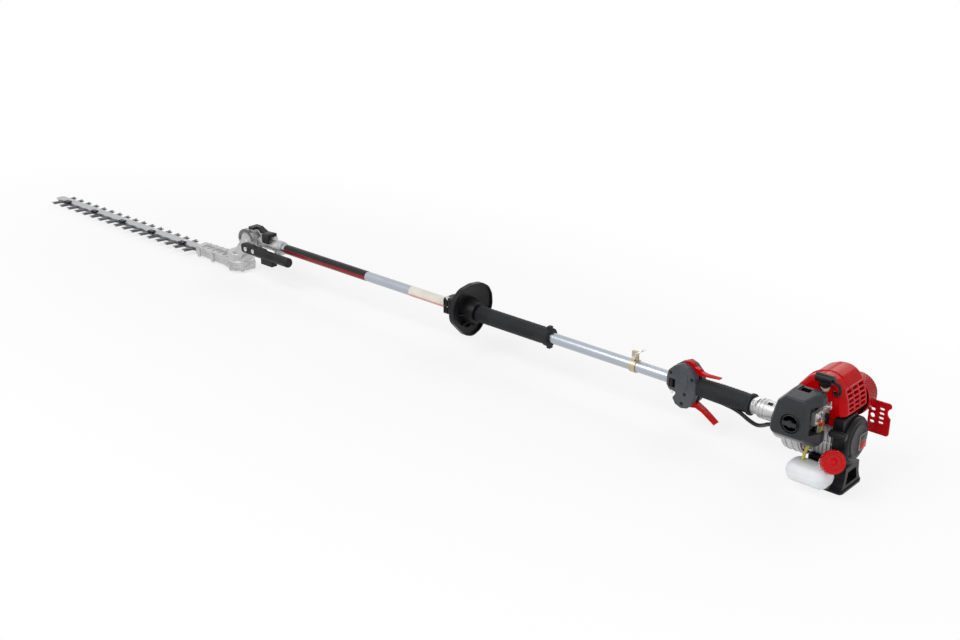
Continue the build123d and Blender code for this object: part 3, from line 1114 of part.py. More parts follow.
# Engine stand: flat foot, pierced column and the plate that bolts to the crankcase
FOOT_X = (-28.0, 22.0)
FOOT_HALF = 37.0
FOOT_THICK = 4.0
COLUMN_HALF = 29.0
COLUMN_X = (-2.0, 20.0)
COLUMN_TOP = AXIS_Z - 47.0
BRACKET_X = (-44.0, -17.0)  # the bracket that holds the tank
with BuildPart() as engine_stand:
    with BuildSketch(level(0)):
        with Locations(((FOOT_X[0] + FOOT_X[1]) / 2, 0)):
            RectangleRounded(FOOT_X[1] - FOOT_X[0], 2 * FOOT_HALF, 8)
    extrude(amount=FOOT_THICK)
    with BuildSketch(across(COLUMN_X[0])):
        Polygon(
            (-FOOT_HALF + 1, 0),
            (FOOT_HALF - 1, 0),
            (FOOT_HALF - 1, FOOT_THICK),
            (COLUMN_HALF + 1, 11),
            (COLUMN_HALF - 4, 24),
            (COLUMN_HALF - 6, COLUMN_TOP),
            (-COLUMN_HALF + 6, COLUMN_TOP),
            (-COLUMN_HALF + 4, 24),
            (-COLUMN_HALF - 1, 11),
            (-FOOT_HALF + 1, FOOT_THICK),
            align=None,
        )
        Polygon(
            (-20, 12),
            (20, 12),
            (14, COLUMN_TOP - 10),
            (-14, COLUMN_TOP - 10),
            align=None,
            mode=Mode.SUBTRACT,
        )
    extrude(amount=COLUMN_X[1] - COLUMN_X[0])
    block((-14, -4.2), (-COLUMN_HALF + 6, COLUMN_HALF - 6), (COLUMN_TOP - 8, CASE_Z[0]))
    block((-14, COLUMN_X[0] + 1), (-COLUMN_HALF + 6, COLUMN_HALF - 6), (COLUMN_TOP - 8, COLUMN_TOP))
    block((-44, -4.2), (-COLUMN_HALF + 6, COLUMN_HALF - 6), (CASE_Z[0] - 6, CASE_Z[0]))
    block(BRACKET_X, (TANK_Y[1], -COLUMN_HALF + 7), (CASE_Z[0] - 6, CASE_Z[0]))
    block(BRACKET_X, (TANK_Y[1], TANK_Y[1] + 4), (AXIS_Z - 60, CASE_Z[0]))
save(engine_stand, "engine_stand")
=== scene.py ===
# %% [markdown]
# # A long-reach hedge trimmer, dressed for its portrait
# The solid pieces of the trimmer come from its workshop model: every tube, case and lever is
# already there, in metres, at its real place. This lesson gives them finishes, adds the small
# moulded and printed details, and sets up a plain studio. Nothing that is loaded here is moved.

# %% Load the workshop model
import json
import math

import bmesh
import bpy
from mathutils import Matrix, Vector


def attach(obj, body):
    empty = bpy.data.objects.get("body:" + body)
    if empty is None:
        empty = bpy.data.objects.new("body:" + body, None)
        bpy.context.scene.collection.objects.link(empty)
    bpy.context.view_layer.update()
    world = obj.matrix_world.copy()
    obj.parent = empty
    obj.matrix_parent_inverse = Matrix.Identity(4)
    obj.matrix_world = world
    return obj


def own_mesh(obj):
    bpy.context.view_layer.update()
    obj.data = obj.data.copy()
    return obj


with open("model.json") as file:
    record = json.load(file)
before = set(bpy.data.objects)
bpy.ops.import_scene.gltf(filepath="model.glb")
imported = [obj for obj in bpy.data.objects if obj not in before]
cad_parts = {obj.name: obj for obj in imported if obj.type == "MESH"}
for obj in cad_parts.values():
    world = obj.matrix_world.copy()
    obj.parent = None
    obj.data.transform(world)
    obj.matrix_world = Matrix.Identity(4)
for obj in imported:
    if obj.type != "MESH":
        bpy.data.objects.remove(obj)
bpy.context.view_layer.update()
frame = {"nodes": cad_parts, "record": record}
nodes = frame["nodes"]

# %% [markdown]
# ## Camera
# The pole runs away to the left and its two edges draw together, which tells how strong the
# perspective is. A 49 mm lens, turned 42 degrees round the tool and raised 22 degrees, shows it
# the same way.

# %% Camera
view_data = bpy.data.cameras.new("portrait")
view_data.lens = 48.75
view_data.sensor_width = 36.0
view_data.clip_start, view_data.clip_end = 0.05, 60.0
portrait = bpy.data.objects.new("portrait", view_data)
portrait.location = (0.85365, -1.85510, 1.08435)
portrait.rotation_euler = (math.radians(68.085), 0.0, math.radians(42.133))
bpy.context.scene.collection.objects.link(portrait)
bpy.context.scene.camera = portrait
print("camera stands at", tuple(round(v, 2) for v in portrait.location))

# %% [markdown]
# ## Shader sums
# A finish is mostly arithmetic on noise. Writing it node by node hides the idea, so one small
# class wraps a socket and lets plain Python operators add the Math nodes. A second class keeps a
# node tree, and its method `node` adds any other kind of node. A third is the tree of one
# material, with the recipes that every finish needs: noise, a mix of two colours and bump.


# %% Wire, Recipe and Finish
class Wire:
    """One value that runs through a node tree."""

    def __init__(self, recipe, socket):
        self.recipe, self.socket = recipe, socket

    def sum(self, operation, first, second):
        return self.recipe.node("ShaderNodeMath", {"operation": operation}, {0: first, 1: second})

    def __add__(self, other):
        return self.sum("ADD", self, other)

    def __sub__(self, other):
        return self.sum("SUBTRACT", self, other)

    def __rsub__(self, other):
        return self.sum("SUBTRACT", other, self)

    def __mul__(self, other):
        return self.sum("MULTIPLY", self, other)

    __radd__, __rmul__ = __add__, __mul__

    def between(self, low, high):
        """0 below low, 1 above high, smooth in between."""
        ends = {"Value": self, "From Min": low, "From Max": high}
        return self.recipe.node("ShaderNodeMapRange", {"interpolation_type": "SMOOTHSTEP"}, ends)


class Recipe:
    """A node tree that is written down as a recipe."""

    def __init__(self, tree):
        self.tree = tree

    def node(self, kind, settings=None, values=None, out=0):
        """Add a node, set it up, join its sockets, and hand back one of its outputs."""
        made = self.tree.nodes.new(kind)
        for label, value in (settings or {}).items():
            setattr(made, label, value)
        for label, value in (values or {}).items():
            if isinstance(value, Wire):
                self.tree.links.new(value.socket, made.inputs[label])
            else:
                made.inputs[label].default_value = value
        return Wire(self, made.outputs[out])

    def show(self, output, wire):
        """Let a wire be what the tree's output node shows."""
        self.tree.links.new(wire.socket, self.tree.nodes[output].inputs["Surface"])


class Finish(Recipe):
    """A material and its recipe."""

    def __init__(self, name, **constants):
        self.material = bpy.data.materials.new(name)
        self.material.use_nodes = True
        super().__init__(self.material.node_tree)
        self.shader = self.tree.nodes["Principled BSDF"]
        for label, value in constants.items():
            socket = label.replace("_", " ").title().replace("Ior", "IOR")
            self.shader.inputs[socket].default_value = value
        self.place = self.node("ShaderNodeTexCoord", out="Object")

    def noise(self, scale, detail, stretch=(1, 1, 1)):
        """Cloudy noise; scale is clouds per metre, stretch squeezes it along an axis."""
        spot = self.node("ShaderNodeMapping", None, {"Vector": self.place, "Scale": stretch})
        values = {"Vector": spot, "Scale": scale, "Detail": detail}
        return self.node("ShaderNodeTexNoise", None, values)

    def mix(self, mask, low, high):
        """Colour that goes from low to high as mask goes from 0 to 1."""
        ends = {0: mask, 6: low, 7: high}
        return self.node("ShaderNodeMix", {"data_type": "RGBA"}, ends, out=2)

    def join(self, label, wire):
        self.tree.links.new(wire.socket, self.shader.inputs[label])

    def bump(self, height, depth):
        """Raise and lower the surface by depth metres."""
        ends = {"Strength": 1.0, "Distance": depth, "Height": height}
        self.join("Normal", self.node("ShaderNodeBump", None, ends))


def tone(r, g, b):
    """A colour with its alpha."""
    return (r, g, b, 1.0)


print("shader helpers ready")

# %% [markdown]
# ## Finishes of plastic and rubber
# Moulded plastic is never one flat colour: the tool that pressed it leaves a fine spark-eroded
# grain, and handling polishes some patches. A coarse noise drifts the colour and the gloss, a
# fine one makes the grain. The soft grips take the same recipe with less shine and a coarser
# grain.


# %% Moulded plastics
def moulded(name, dark, light, rough, grain=0.00006, fine=2200.0, shine=0.25):
    """A moulded plastic or rubber between two tones; grain is its depth in metres."""
    f = Finish(name, roughness=rough, specular_ior_level=shine)
    cloud = f.noise(35.0, 4.0)
    spark = f.noise(fine, 2.0)
    scuff = f.noise(190.0, 6.0, (1.0, 0.35, 1.0)).between(0.55, 0.75)
    f.join("Base Color", f.mix(cloud.between(0.3, 0.7) * 0.7 + scuff * 0.3, dark, light))
    f.join("Roughness", rough + (cloud - 0.5) * 0.18 + scuff * 0.08)
    f.bump(spark, grain)
    return f.material


finishes = {}
finishes["black_plastic"] = moulded(
    "moulded_black", tone(0.005, 0.005, 0.006), tone(0.012, 0.012, 0.014), 0.36, shine=0.2
)
finishes["grey_plastic"] = moulded(
    "moulded_slate", tone(0.052, 0.058, 0.068), tone(0.085, 0.092, 0.104), 0.5
)
finishes["red_plastic"] = moulded(
    "moulded_red", tone(0.48, 0.0005, 0.002), tone(0.6, 0.001, 0.003), 0.1, 0.000005, shine=0.09
)
finishes["grip_rubber"] = moulded(
    "grip_rubber", tone(0.011, 0.012, 0.014), tone(0.024, 0.025, 0.028), 0.6, 0.0001, 1200.0, 0.2
)
print("plastics:", ", ".join(finishes))

# %% [markdown]
# The tank is blown from milky plastic that lets some light in, so it gets a little subsurface
# scatter and a faint clouding. The hose is tinted and glossy, and the filter is open foam with
# visible cells, whose pores are darkened as painted shade.


# %% Tank, hose and foam
def milky_tank():
    f = Finish("milky_tank", roughness=0.34, subsurface_weight=0.2, subsurface_scale=0.006)
    cloud = f.noise(16.0, 2.0)
    clear, milky = tone(0.88, 0.88, 0.9), tone(0.8, 0.8, 0.83)
    f.join("Base Color", f.mix(cloud.between(0.35, 0.7), clear, milky))
    f.join("Roughness", 0.3 + cloud * 0.12)
    f.bump(f.noise(420.0, 2.0), 0.0001)
    return f.material


def tinted_hose():
    f = Finish("tinted_hose", roughness=0.25, transmission_weight=0.25)
    band = f.noise(120.0, 3.0)
    f.join("Base Color", f.mix(band, tone(0.55, 0.52, 0.05), tone(0.74, 0.7, 0.12)))
    f.join("Roughness", 0.2 + band * 0.15)
    return f.material


def open_foam():
    f = Finish("open_foam", roughness=0.95)
    cell = f.node("ShaderNodeTexVoronoi", None, {"Vector": f.place, "Scale": 700.0}, out="Distance")
    # The dark pore tone is painted shade inside the foam's open cells.
    strut, pore_shade = tone(0.2, 0.2, 0.19), tone(0.05, 0.05, 0.05)
    f.join("Base Color", f.mix(cell.between(0.1, 0.6), strut, pore_shade))
    f.bump(cell, 0.0008)
    return f.material


finishes["tank_plastic"] = milky_tank()
finishes["line_plastic"] = tinted_hose()
finishes["filter_foam"] = open_foam()
print("soft finishes made")

# %% [markdown]
# ## Finishes of metal
# Each metal shows how it was made. A drawn tube has long straight streaks, ground blades have
# finer ones across a duller surface, castings are grainy and greyer in patches, and plated screws
# are bright with small spangles. Streaks are the same noise stretched along one direction.


# %% Metals
def streaked(name, dark, light, rough, stretch, scale=400.0):
    """Drawn or ground metal with streaks along one direction."""
    f = Finish(name, metallic=1.0, roughness=rough)
    streak = f.noise(scale, 4.0, stretch)
    haze = f.noise(14.0, 3.0)
    f.join("Base Color", f.mix(streak * 0.6 + haze * 0.4, dark, light))
    f.join("Roughness", rough + (streak - 0.5) * 0.2 + (haze - 0.5) * 0.16)
    f.bump(streak, 0.00001)
    return f.material


def cast(name, dark, light, rough, metallic=0.75):
    """Cast alloy: grainy skin, greyer in patches."""
    f = Finish(name, metallic=metallic, roughness=rough)
    skin = f.noise(900.0, 4.0)
    stain = f.noise(45.0, 5.0).between(0.35, 0.75)
    f.join("Base Color", f.mix(stain * 0.7 + skin * 0.3, light, dark))
    f.join("Roughness", rough + (skin - 0.5) * 0.25)
    f.bump(skin, 0.00012)
    return f.material


def plated(name, dark, light, rough):
    """Zinc-plated steel with faint spangles."""
    f = Finish(name, metallic=1.0, roughness=rough)
    cell = f.node("ShaderNodeTexVoronoi", None, {"Vector": f.place, "Scale": 320.0}, out="Color")
    spangle = f.node("ShaderNodeRGBToBW", None, {"Color": cell})
    drift = f.noise(60.0, 3.0)
    f.join("Base Color", f.mix(spangle * 0.4 + drift * 0.6, dark, light))
    f.join("Roughness", rough + (spangle - 0.5) * 0.12)
    return f.material


finishes["blade_steel"] = streaked(
    "ground_steel", tone(0.34, 0.35, 0.355), tone(0.57, 0.58, 0.585), 0.34, (0.06, 1, 1)
)
finishes["pole_alloy"] = streaked(
    "drawn_alloy", tone(0.37, 0.4, 0.45), tone(0.5, 0.53, 0.58), 0.25, (0.004, 1, 1), 900.0
)
finishes["machine_steel"] = streaked(
    "turned_steel", tone(0.3, 0.3, 0.31), tone(0.52, 0.52, 0.53), 0.32, (1, 0.1, 1)
)
finishes["cast_alloy"] = cast("cast_alloy", tone(0.43, 0.43, 0.43), tone(0.58, 0.58, 0.58), 0.44)
finishes["muffler_steel"] = cast(
    "pressed_muffler", tone(0.2, 0.17, 0.15), tone(0.4, 0.38, 0.36), 0.45, 1.0
)
finishes["zinc_steel"] = plated("bright_zinc", tone(0.55, 0.56, 0.57), tone(0.78, 0.78, 0.78), 0.28)
finishes["yellow_zinc"] = plated("yellow_zinc", tone(0.42, 0.33, 0.21), tone(0.6, 0.52, 0.4), 0.3)
finishes["bush_bronze"] = plated("bush_bronze", tone(0.5, 0.34, 0.16), tone(0.66, 0.48, 0.26), 0.4)
print("metals made")

# %% [markdown]
# Some pieces are painted over metal, like the red muffler shield and the black tilt handle. Paint
# is a dielectric skin, so it isn't metallic, but it shows orange peel, a slow ripple in the
# gloss. The plug's insulator is a glazed cream ceramic, and the same recipe serves for its glaze.


# %% Paint and ceramic
def painted(name, dark, light, rough):
    """Paint or glaze with orange peel."""
    f = Finish(name, roughness=rough, specular_ior_level=0.2)
    peel = f.noise(600.0, 2.0)
    cloud = f.noise(40.0, 4.0)
    f.join("Base Color", f.mix(cloud.between(0.3, 0.7), dark, light))
    f.join("Roughness", rough + (cloud - 0.5) * 0.2)
    f.bump(peel, 0.00004)
    return f.material


finishes["red_metal"] = painted(
    "painted_red", tone(0.44, 0.002, 0.006), tone(0.58, 0.006, 0.01), 0.28
)
finishes["black_metal"] = painted(
    "painted_black", tone(0.007, 0.007, 0.008), tone(0.016, 0.016, 0.017), 0.38
)
finishes["plug_ceramic"] = painted(
    "glazed_ceramic", tone(0.62, 0.52, 0.38), tone(0.74, 0.66, 0.52), 0.2
)
print("paints made")

# %% [markdown]
# A few finishes belong only to added parts or to one loaded piece: the hardened dark steel of the
# toothed blades, the satin black of the air cleaner, the printed bands on the pole, the plain
# label blocks and the dark line of a joint between two mouldings, also used as painted shade in
# slots and holes.

# %% Finishes of the added parts
SMOOTH, SATIN = 0.00001, 0.00002
finishes["dark_steel"] = streaked(
    "hardened_steel", tone(0.1, 0.1, 0.105), tone(0.24, 0.24, 0.25), 0.36, (0.1, 1, 1)
)
finishes["cover_black"] = moulded(
    "cover_black", tone(0.014, 0.015, 0.018), tone(0.026, 0.027, 0.032), 0.4, shine=0.35
)
finishes["sleeve_black"] = moulded(
    "printed_black", tone(0.008, 0.008, 0.009), tone(0.018, 0.018, 0.02), 0.3, SMOOTH
)
finishes["sleeve_red"] = moulded(
    "printed_red", tone(0.2, 0.006, 0.012), tone(0.28, 0.01, 0.018), 0.28, SMOOTH
)
finishes["band_cream"] = moulded(
    "printed_cream", tone(0.72, 0.68, 0.6), tone(0.8, 0.77, 0.7), 0.4, SMOOTH
)
finishes["band_pink"] = moulded(
    "printed_pink", tone(0.7, 0.3, 0.3), tone(0.76, 0.38, 0.38), 0.4, SMOOTH
)
# The dark of a real joint line, also used as painted shade for the neck's slots and the guard's
# holes.
finishes["seam_dark"] = moulded(
    "seam_dark", tone(0.006, 0.006, 0.007), tone(0.012, 0.012, 0.013), 0.6
)
finishes["lattice_red"] = moulded(
    "lattice_red", tone(0.62, 0.02, 0.03), tone(0.72, 0.04, 0.045), 0.3, SATIN
)
finishes["collar_orange"] = moulded(
    "collar_orange", tone(0.62, 0.08, 0.02), tone(0.72, 0.12, 0.03), 0.35, SATIN
)
finishes["label_grey"] = moulded(
    "label_grey", tone(0.3, 0.3, 0.31), tone(0.36, 0.36, 0.37), 0.4, SMOOTH
)
print("finishes in all:", len(finishes))

# %% [markdown]
# ## Dressing the loaded pieces
# The record that came with the model says which finish each piece has. Some are overruled:
# the toothed blades are darker than the bar above them, and the screws of the throttle housing,
# which sit deep in their holes, are painted black as painted shade. The ring for the harness is
# bright, while the band that carries it is yellowed, and the air cleaner has a satin sheen.

# %% Give every loaded piece its finish
finish_of = {row["node"]: row["material_slot"] for row in frame["record"]["subparts"]}
finish_of["upper_blade"] = finish_of["lower_blade"] = "dark_steel"
# The housing screws get black paint: painted shade of the deep holes they sit in.
finish_of["housing_screws"] = "black_metal"
finish_of["hanger_ring"] = "zinc_steel"
finish_of["air_cleaner_cover"] = finish_of["cover_knob"] = "cover_black"
for name, node in nodes.items():
    node.data.materials.clear()
    node.data.materials.append(finishes[finish_of[name]])
print("dressed", len(finish_of), "pieces")

# %% [markdown]
# ## Tools for small parts
# The added parts are few kinds of shape: something turned on a lathe, a block with softened
# edges, a flat outline given a thickness, a rib on the pole, a wire bent along points, and a thin
# sleeve round the pole. One helper makes each of them in a bmesh, so that a part can gather
# several. Sizes are written in millimetres, and heights are counted from the pole's axis, because
# that is how the tool is measured at the bench.

# %% Places and pieces
MM = 1000.0  # millimetres in a metre
POLE_HEIGHT = 92.0
ALONG, NEAR, UP = (1, 0, 0), (0, -1, 0), (0, 0, 1)


def at(x, y, z):
    """Millimetres, with z counted from the pole's axis, as a place in the scene."""
    return Vector((x, y, z + POLE_HEIGHT)) / MM


def piece(name, shape, finish, body, crisp=38.0):
    """Make an object of a bmesh, give it a finish and let it ride on a body."""
    bmesh.ops.recalc_face_normals(shape, faces=shape.faces)
    mesh = bpy.data.meshes.new(name)
    shape.to_mesh(mesh)
    shape.free()
    mesh.materials.append(finishes[finish])
    mesh.shade_smooth()
    mesh.set_sharp_from_angle(angle=math.radians(crisp))
    made = bpy.data.objects.new(name, mesh)
    bpy.context.scene.collection.objects.link(made)
    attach(made, body)
    return made


def skin(shape, loops, caps=True):
    """Join loops of points into a tube of faces, with flat ends."""
    rings = [[shape.verts.new(p) for p in loop] for loop in loops]
    count = len(rings[0])
    for before, after in zip(rings, rings[1:]):
        for i in range(count):
            j = (i + 1) % count
            shape.faces.new((before[i], before[j], after[j], after[i]))
    if caps:
        shape.faces.new(rings[0][::-1])
        shape.faces.new(rings[-1])


print("the pole's axis is", POLE_HEIGHT, "mm above the floor")


# %% Turned, block, plate, rib, wire and sleeve
def circle(sides):
    """Angles evenly round a circle."""
    return [2 * math.pi * i / sides for i in range(sides)]


def turned(shape, profile, foot, axis, sides=40):
    """Turn a profile of (height, radius) steps round an axis that starts at foot."""
    axis = Vector(axis).normalized()
    across = axis.orthogonal().normalized()
    other = axis.cross(across)
    spokes = [across * math.cos(t) + other * math.sin(t) for t in circle(sides)]
    loops = []
    for height, radius in profile:
        loops.append([foot + (axis * height + spoke * radius) / MM for spoke in spokes])
    skin(shape, loops)


def block(shape, low, high, soften=0.6):
    """A box between two corners with its edges rounded over."""
    made = bmesh.ops.create_cube(shape, size=1.0)["verts"]
    middle = (low + high) / 2
    for vert in made:
        vert.co = Vector(c * s for c, s in zip(vert.co, high - low)) + middle
    edges = {edge for vert in made for edge in vert.link_edges}
    bmesh.ops.bevel(
        shape, geom=list(edges), offset=soften / MM, segments=2, affect="EDGES", profile=0.5
    )


def plate(shape, outline, thickness):
    """A flat outline of points given a thickness along a vector in millimetres."""
    shift = Vector(thickness) / MM
    skin(shape, [outline, [p + shift for p in outline]])


def outward(turn):
    """Direction out from the pole at an angle from the near side (0) over the top (90 degrees)."""
    return Vector((0, -math.cos(turn), math.sin(turn)))


def rib(shape, turn, steps, width):
    """A flat rib that stands out from the pole; its outline is given as steps of (x, radius)."""
    out, side = outward(turn), Vector((0, math.sin(turn), math.cos(turn)))
    outline = [at(x, 0, 0) + (out * r - side * (width / 2)) / MM for x, r in steps]
    plate(shape, outline, side * width)


def wire(shape, points, radius, sides=10, closed=False):
    """A round wire bent along points."""
    count = len(points)
    loops = []
    side = None
    for i, point in enumerate(points):
        before = points[i - 1] if closed or i else point
        after = points[(i + 1) % count] if closed or i < count - 1 else point
        run = (after - before).normalized()
        side = run.orthogonal() if side is None else side - run * side.dot(run)
        side.normalize()
        other = run.cross(side)
        spokes = [side * math.cos(t) + other * math.sin(t) for t in circle(sides)]
        loops.append([point + spoke * radius / MM for spoke in spokes])
    if closed:
        loops.append(loops[0])
    skin(shape, loops, caps=not closed)
    bmesh.ops.remove_doubles(shape, verts=shape.verts, dist=1e-7)


def sleeve(shape, x, inner, outer, start, stop, sides=36):
    """A thin shell round the pole from x[0] to x[1]; angles in degrees, counted as in outward."""
    loops = []
    for i in range(sides + 1):
        turn = math.radians(start + (stop - start) * i / sides)
        near, up = -math.cos(turn), math.sin(turn)
        corners = ((x[0], inner), (x[1], inner), (x[1], outer), (x[0], outer))
        loops.append([at(station, near * r, up * r) for station, r in corners])
    skin(shape, loops)


print("tools for small parts ready")

# %% [markdown]
# ## Cutter and gear case
# Each guide bolt clamps a flat washer. Where the two castings of the gear case meet, a real one
# has a flange that stands a little proud, with cross ribs along the arm to stiffen it. The flange
# follows the case's outline from above, which is a tapered arm that swells twice, so its half
# width is worked out station by station.

# %% Washers, flange, ribs and oil plug
PIVOT_X, DRUM_X, ARM_FRONT_X = -1563.0, -1619.0, -1782.0
DRUM_R, BULGE_R, BULGE_X = 33.0, 27.0, DRUM_X - 24.0
ARM_HALF, ARM_SPREAD = 17.0, 7.0
BOLT_X = [-2388.0 + 135.0 * i for i in range(5)]
BAR_TOP, CASE_SPLIT, ARM_TOP, CASE_BOTTOM = -72.0, -76.0, -62.0, -86.0
FLANGE = ((-2.0, -1.3), (1.2, -1.3), (1.7, -0.8), (1.7, 0.8), (1.2, 1.3), (-2.0, 1.3))


def case_half_width(x):
    """Half the width of the gear case at a station."""
    taper = (x - ARM_FRONT_X) / (DRUM_X - ARM_FRONT_X)
    widths = [ARM_HALF + ARM_SPREAD * taper] if x <= DRUM_X else [0.0]
    for middle, radius in ((BULGE_X, BULGE_R), (DRUM_X, DRUM_R)):
        widths.append(math.sqrt(max(0.0, radius**2 - (x - middle) ** 2)))
    return max(widths)


def case_flange():
    shape = bmesh.new()
    stations = [ARM_FRONT_X + 4 + i * 3.0 for i in range(53)]
    stations += [DRUM_X + DRUM_R * math.sin(math.radians(a)) for a in range(0, 91, 6)]
    path = [(x, -case_half_width(x)) for x in stations]
    path += [(x, -y) for x, y in path[-2::-1]]
    loops = []
    for i, (x, y) in enumerate(path):
        ahead, behind = path[min(i + 1, len(path) - 1)], path[max(i - 1, 0)]
        run = Vector((ahead[0] - behind[0], ahead[1] - behind[1])).normalized()
        out = Vector((run.y, -run.x))
        loops.append([at(x + out.x * o, y + out.y * o, CASE_SPLIT + h) for o, h in FLANGE])
    skin(shape, loops)
    return piece("case_flange", shape, "cast_alloy", "cutter_head")


def arm_ribs():
    shape = bmesh.new()
    for i in range(5):
        x = ARM_FRONT_X + 24 + 22 * i
        half = case_half_width(x) - 3.0
        block(shape, at(x - 1.3, -half, ARM_TOP - 2), at(x + 1.3, half, ARM_TOP + 2.2))
    boss = [(-2, 9.5), (3, 9.5), (4, 8.5), (4, 6), (8, 6), (9, 5)]
    turned(shape, boss, at(DRUM_X - 31, -12, ARM_TOP), UP)
    return piece("arm_ribs", shape, "cast_alloy", "cutter_head")


def bolt_washers():
    shape = bmesh.new()
    washer = [(-0.2, 7.4), (0.7, 7.4), (1.0, 7.0), (1.0, 5.3), (0.6, 5.1)]
    for x in BOLT_X:
        turned(shape, washer, at(x, 0, BAR_TOP), UP)
    return piece("bolt_washers", shape, "zinc_steel", "cutter_head")


def oil_plug():
    shape = bmesh.new()
    head = [(-1, 5.2), (2.2, 5.2), (3.0, 4.2), (3.0, 2.2), (1.4, 2.0)]
    turned(shape, head, at(DRUM_X + 4, -22, CASE_BOTTOM), (0, 0, -1), 6)
    return piece("oil_plug", shape, "black_metal", "cutter_head")


cutter_parts = [case_flange(), arm_ribs(), bolt_washers(), oil_plug()]
print("cutter parts:", ", ".join(part.name for part in cutter_parts))

# %% [markdown]
# ## Tilt joint
# The cutter is locked at an angle by a lever that drops into a toothed sector on the joint's
# disc. The sector is a dark hardened plate, so it is a piece of its own on the disc's near face,
# cut with saw teeth. The lever is held up by a small coil spring, which a real lever flattens when
# pressed; here it keeps its rest shape. The pole's socket is closed by a clamp band with two pinch
# bolts.

# %% Sector, spring, thumb eye and socket clamp
DISC_FACE_Y = -24.0
SECTOR_Y = (DISC_FACE_Y + 0.6, DISC_FACE_Y - 1.6)
TOOTH_TIP_R, TOOTH_ROOT_R, SECTOR_INNER_R = 28.7, 26.6, 20.5
SECTOR_TEETH, SECTOR_SPAN = 22, (8.0, 178.0)
SPRING_X, SPRING_R, SPRING_FOOT, SPRING_HEIGHT = -1491, 3.2, 14.0, 7.0


def lock_sector():
    shape = bmesh.new()
    first, last = SECTOR_SPAN
    step = math.radians((last - first) / SECTOR_TEETH)
    tooth = ((TOOTH_TIP_R, 0.0), (TOOTH_TIP_R, 0.35), (TOOTH_ROOT_R, 0.45), (TOOTH_ROOT_R, 0.85))
    loops = []
    for i in range(SECTOR_TEETH + 1):
        turn = math.radians(first + (last - first) * i / SECTOR_TEETH)
        for radius, lag in tooth:
            a = turn + step * lag
            radii = (radius, radius, SECTOR_INNER_R, SECTOR_INNER_R)
            corners = zip(radii, SECTOR_Y + SECTOR_Y[::-1])
            loops.append([at(PIVOT_X + r * math.cos(a), y, r * math.sin(a)) for r, y in corners])
    skin(shape, loops)
    return piece("lock_sector", shape, "dark_steel", "cutter_head", 25.0)


def lever_spring():
    shape = bmesh.new()
    turns, count = 4.5, 110
    points = []
    for i in range(count + 1):
        t = i / count
        a = 2 * math.pi * turns * t
        x, y = SPRING_X + SPRING_R * math.cos(a), SPRING_R * math.sin(a)
        points.append(at(x, y, SPRING_FOOT + SPRING_HEIGHT * t))
    wire(shape, points, 0.55, 8)
    made = piece("lever_spring", shape, "zinc_steel", "frame")
    foot = tuple(at(SPRING_X, 0, SPRING_FOOT))
    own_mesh(made)
    return made


def thumb_eye():
    shape = bmesh.new()
    eye = [(-1.0, 5.4), (0.5, 5.4), (0.8, 4.9), (0.8, 3.9), (-0.4, 3.6)]
    turned(shape, eye, at(-1494, -20.8, 17), NEAR, 32)
    block(shape, at(-1504, -20.6, 23), at(-1486, 4, 29.8), 1.6)
    return piece("thumb_eye", shape, "black_metal", "lock_lever")


def socket_clamp():
    shape = bmesh.new()
    front = [(0, 14.2), (0.6, 15.4), (9, 15.4), (9.6, 14.4)]
    rear = [(13, 14.4), (13.6, 15.4), (22, 15.4), (22.6, 14.2)]
    turned(shape, front + rear, at(-1478, 0, 0), ALONG, 56)
    head = [(-2, 3.4), (3, 3.4), (3.6, 2.8), (3.6, 1.6), (1.6, 1.5)]
    for x in (-1473.0, -1460.0):
        block(shape, at(x - 3.5, -9, -19), at(x + 3.5, 9, -13), 1.2)
        turned(shape, head, at(x, -9, -16.4), NEAR, 24)
    return piece("socket_clamp", shape, "cast_alloy", "frame")


joint_parts = [lock_sector(), lever_spring(), thumb_eye(), socket_clamp()]
print("joint parts:", ", ".join(part.name for part in joint_parts))

# %% [markdown]
# ## Pole and hand guard
# The front of the pole wears a printed sleeve, black on top and deep red below, and further back
# a plain pale band with a pink edge. They are thin shells that only just clear the tube. The
# guard is stiffened by ribs that run a short way from its hub into the dish, and its clamp is
# ribbed where the two halves are squeezed together.

# %% Sleeves, guard ribs and clamp ribs
GUARD_X, GUARD_HUB_R, DISH_SLOPE = -858.0, 29, 0.195
BAND_R = (11.12, 11.32)
SLEEVE_X, BAND_X = (-1440, -1162), (-1023, -914)


def pole_band(name, x, finish, start, stop):
    shape = bmesh.new()
    sleeve(shape, x, *BAND_R, start, stop)
    return piece(name, shape, finish, "frame")


def guard_ribs():
    shape = bmesh.new()
    reach = 36.0
    dish = (reach - GUARD_HUB_R) * DISH_SLOPE
    steps = ((19.0, 25.0), (6.2 + dish, reach), (2.0 + dish, reach), (3.0, 24.0))
    for turn in (-75, -45, 0, 180, 225, 255):
        rib(shape, math.radians(turn), [(GUARD_X + x, r) for x, r in steps], 2.2)
    return piece("guard_ribs", shape, "black_plastic", "frame")


def clamp_ribs():
    shape = bmesh.new()
    for i in range(6):
        x = GUARD_X - 53 + 7.6 * i
        for low, high in ((-15, -2), (2, 15)):
            block(shape, at(x, -19.4, low), at(x + 3.2, -17, high), 0.5)
    return piece("clamp_ribs", shape, "black_plastic", "frame")


pole_parts = [
    pole_band("sleeve_black", SLEEVE_X, "sleeve_black", 16, 196),
    pole_band("sleeve_red", SLEEVE_X, "sleeve_red", -164, 16),
    pole_band("band_cream", BAND_X, "band_cream", -12, 200),
    pole_band("band_pink", BAND_X, "band_pink", -160, -12),
    guard_ribs(),
    clamp_ribs(),
]
print("pole parts:", ", ".join(part.name for part in pole_parts))

# %% [markdown]
# ## Grips
# Both grips are soft sleeves covered with small round pips that give hold to a wet glove. Each
# pip is a low dome of a few faces, set out in staggered rows. They are gathered into one mesh per
# grip, which is lighter than hundreds of objects and still gives every pip its own highlight.

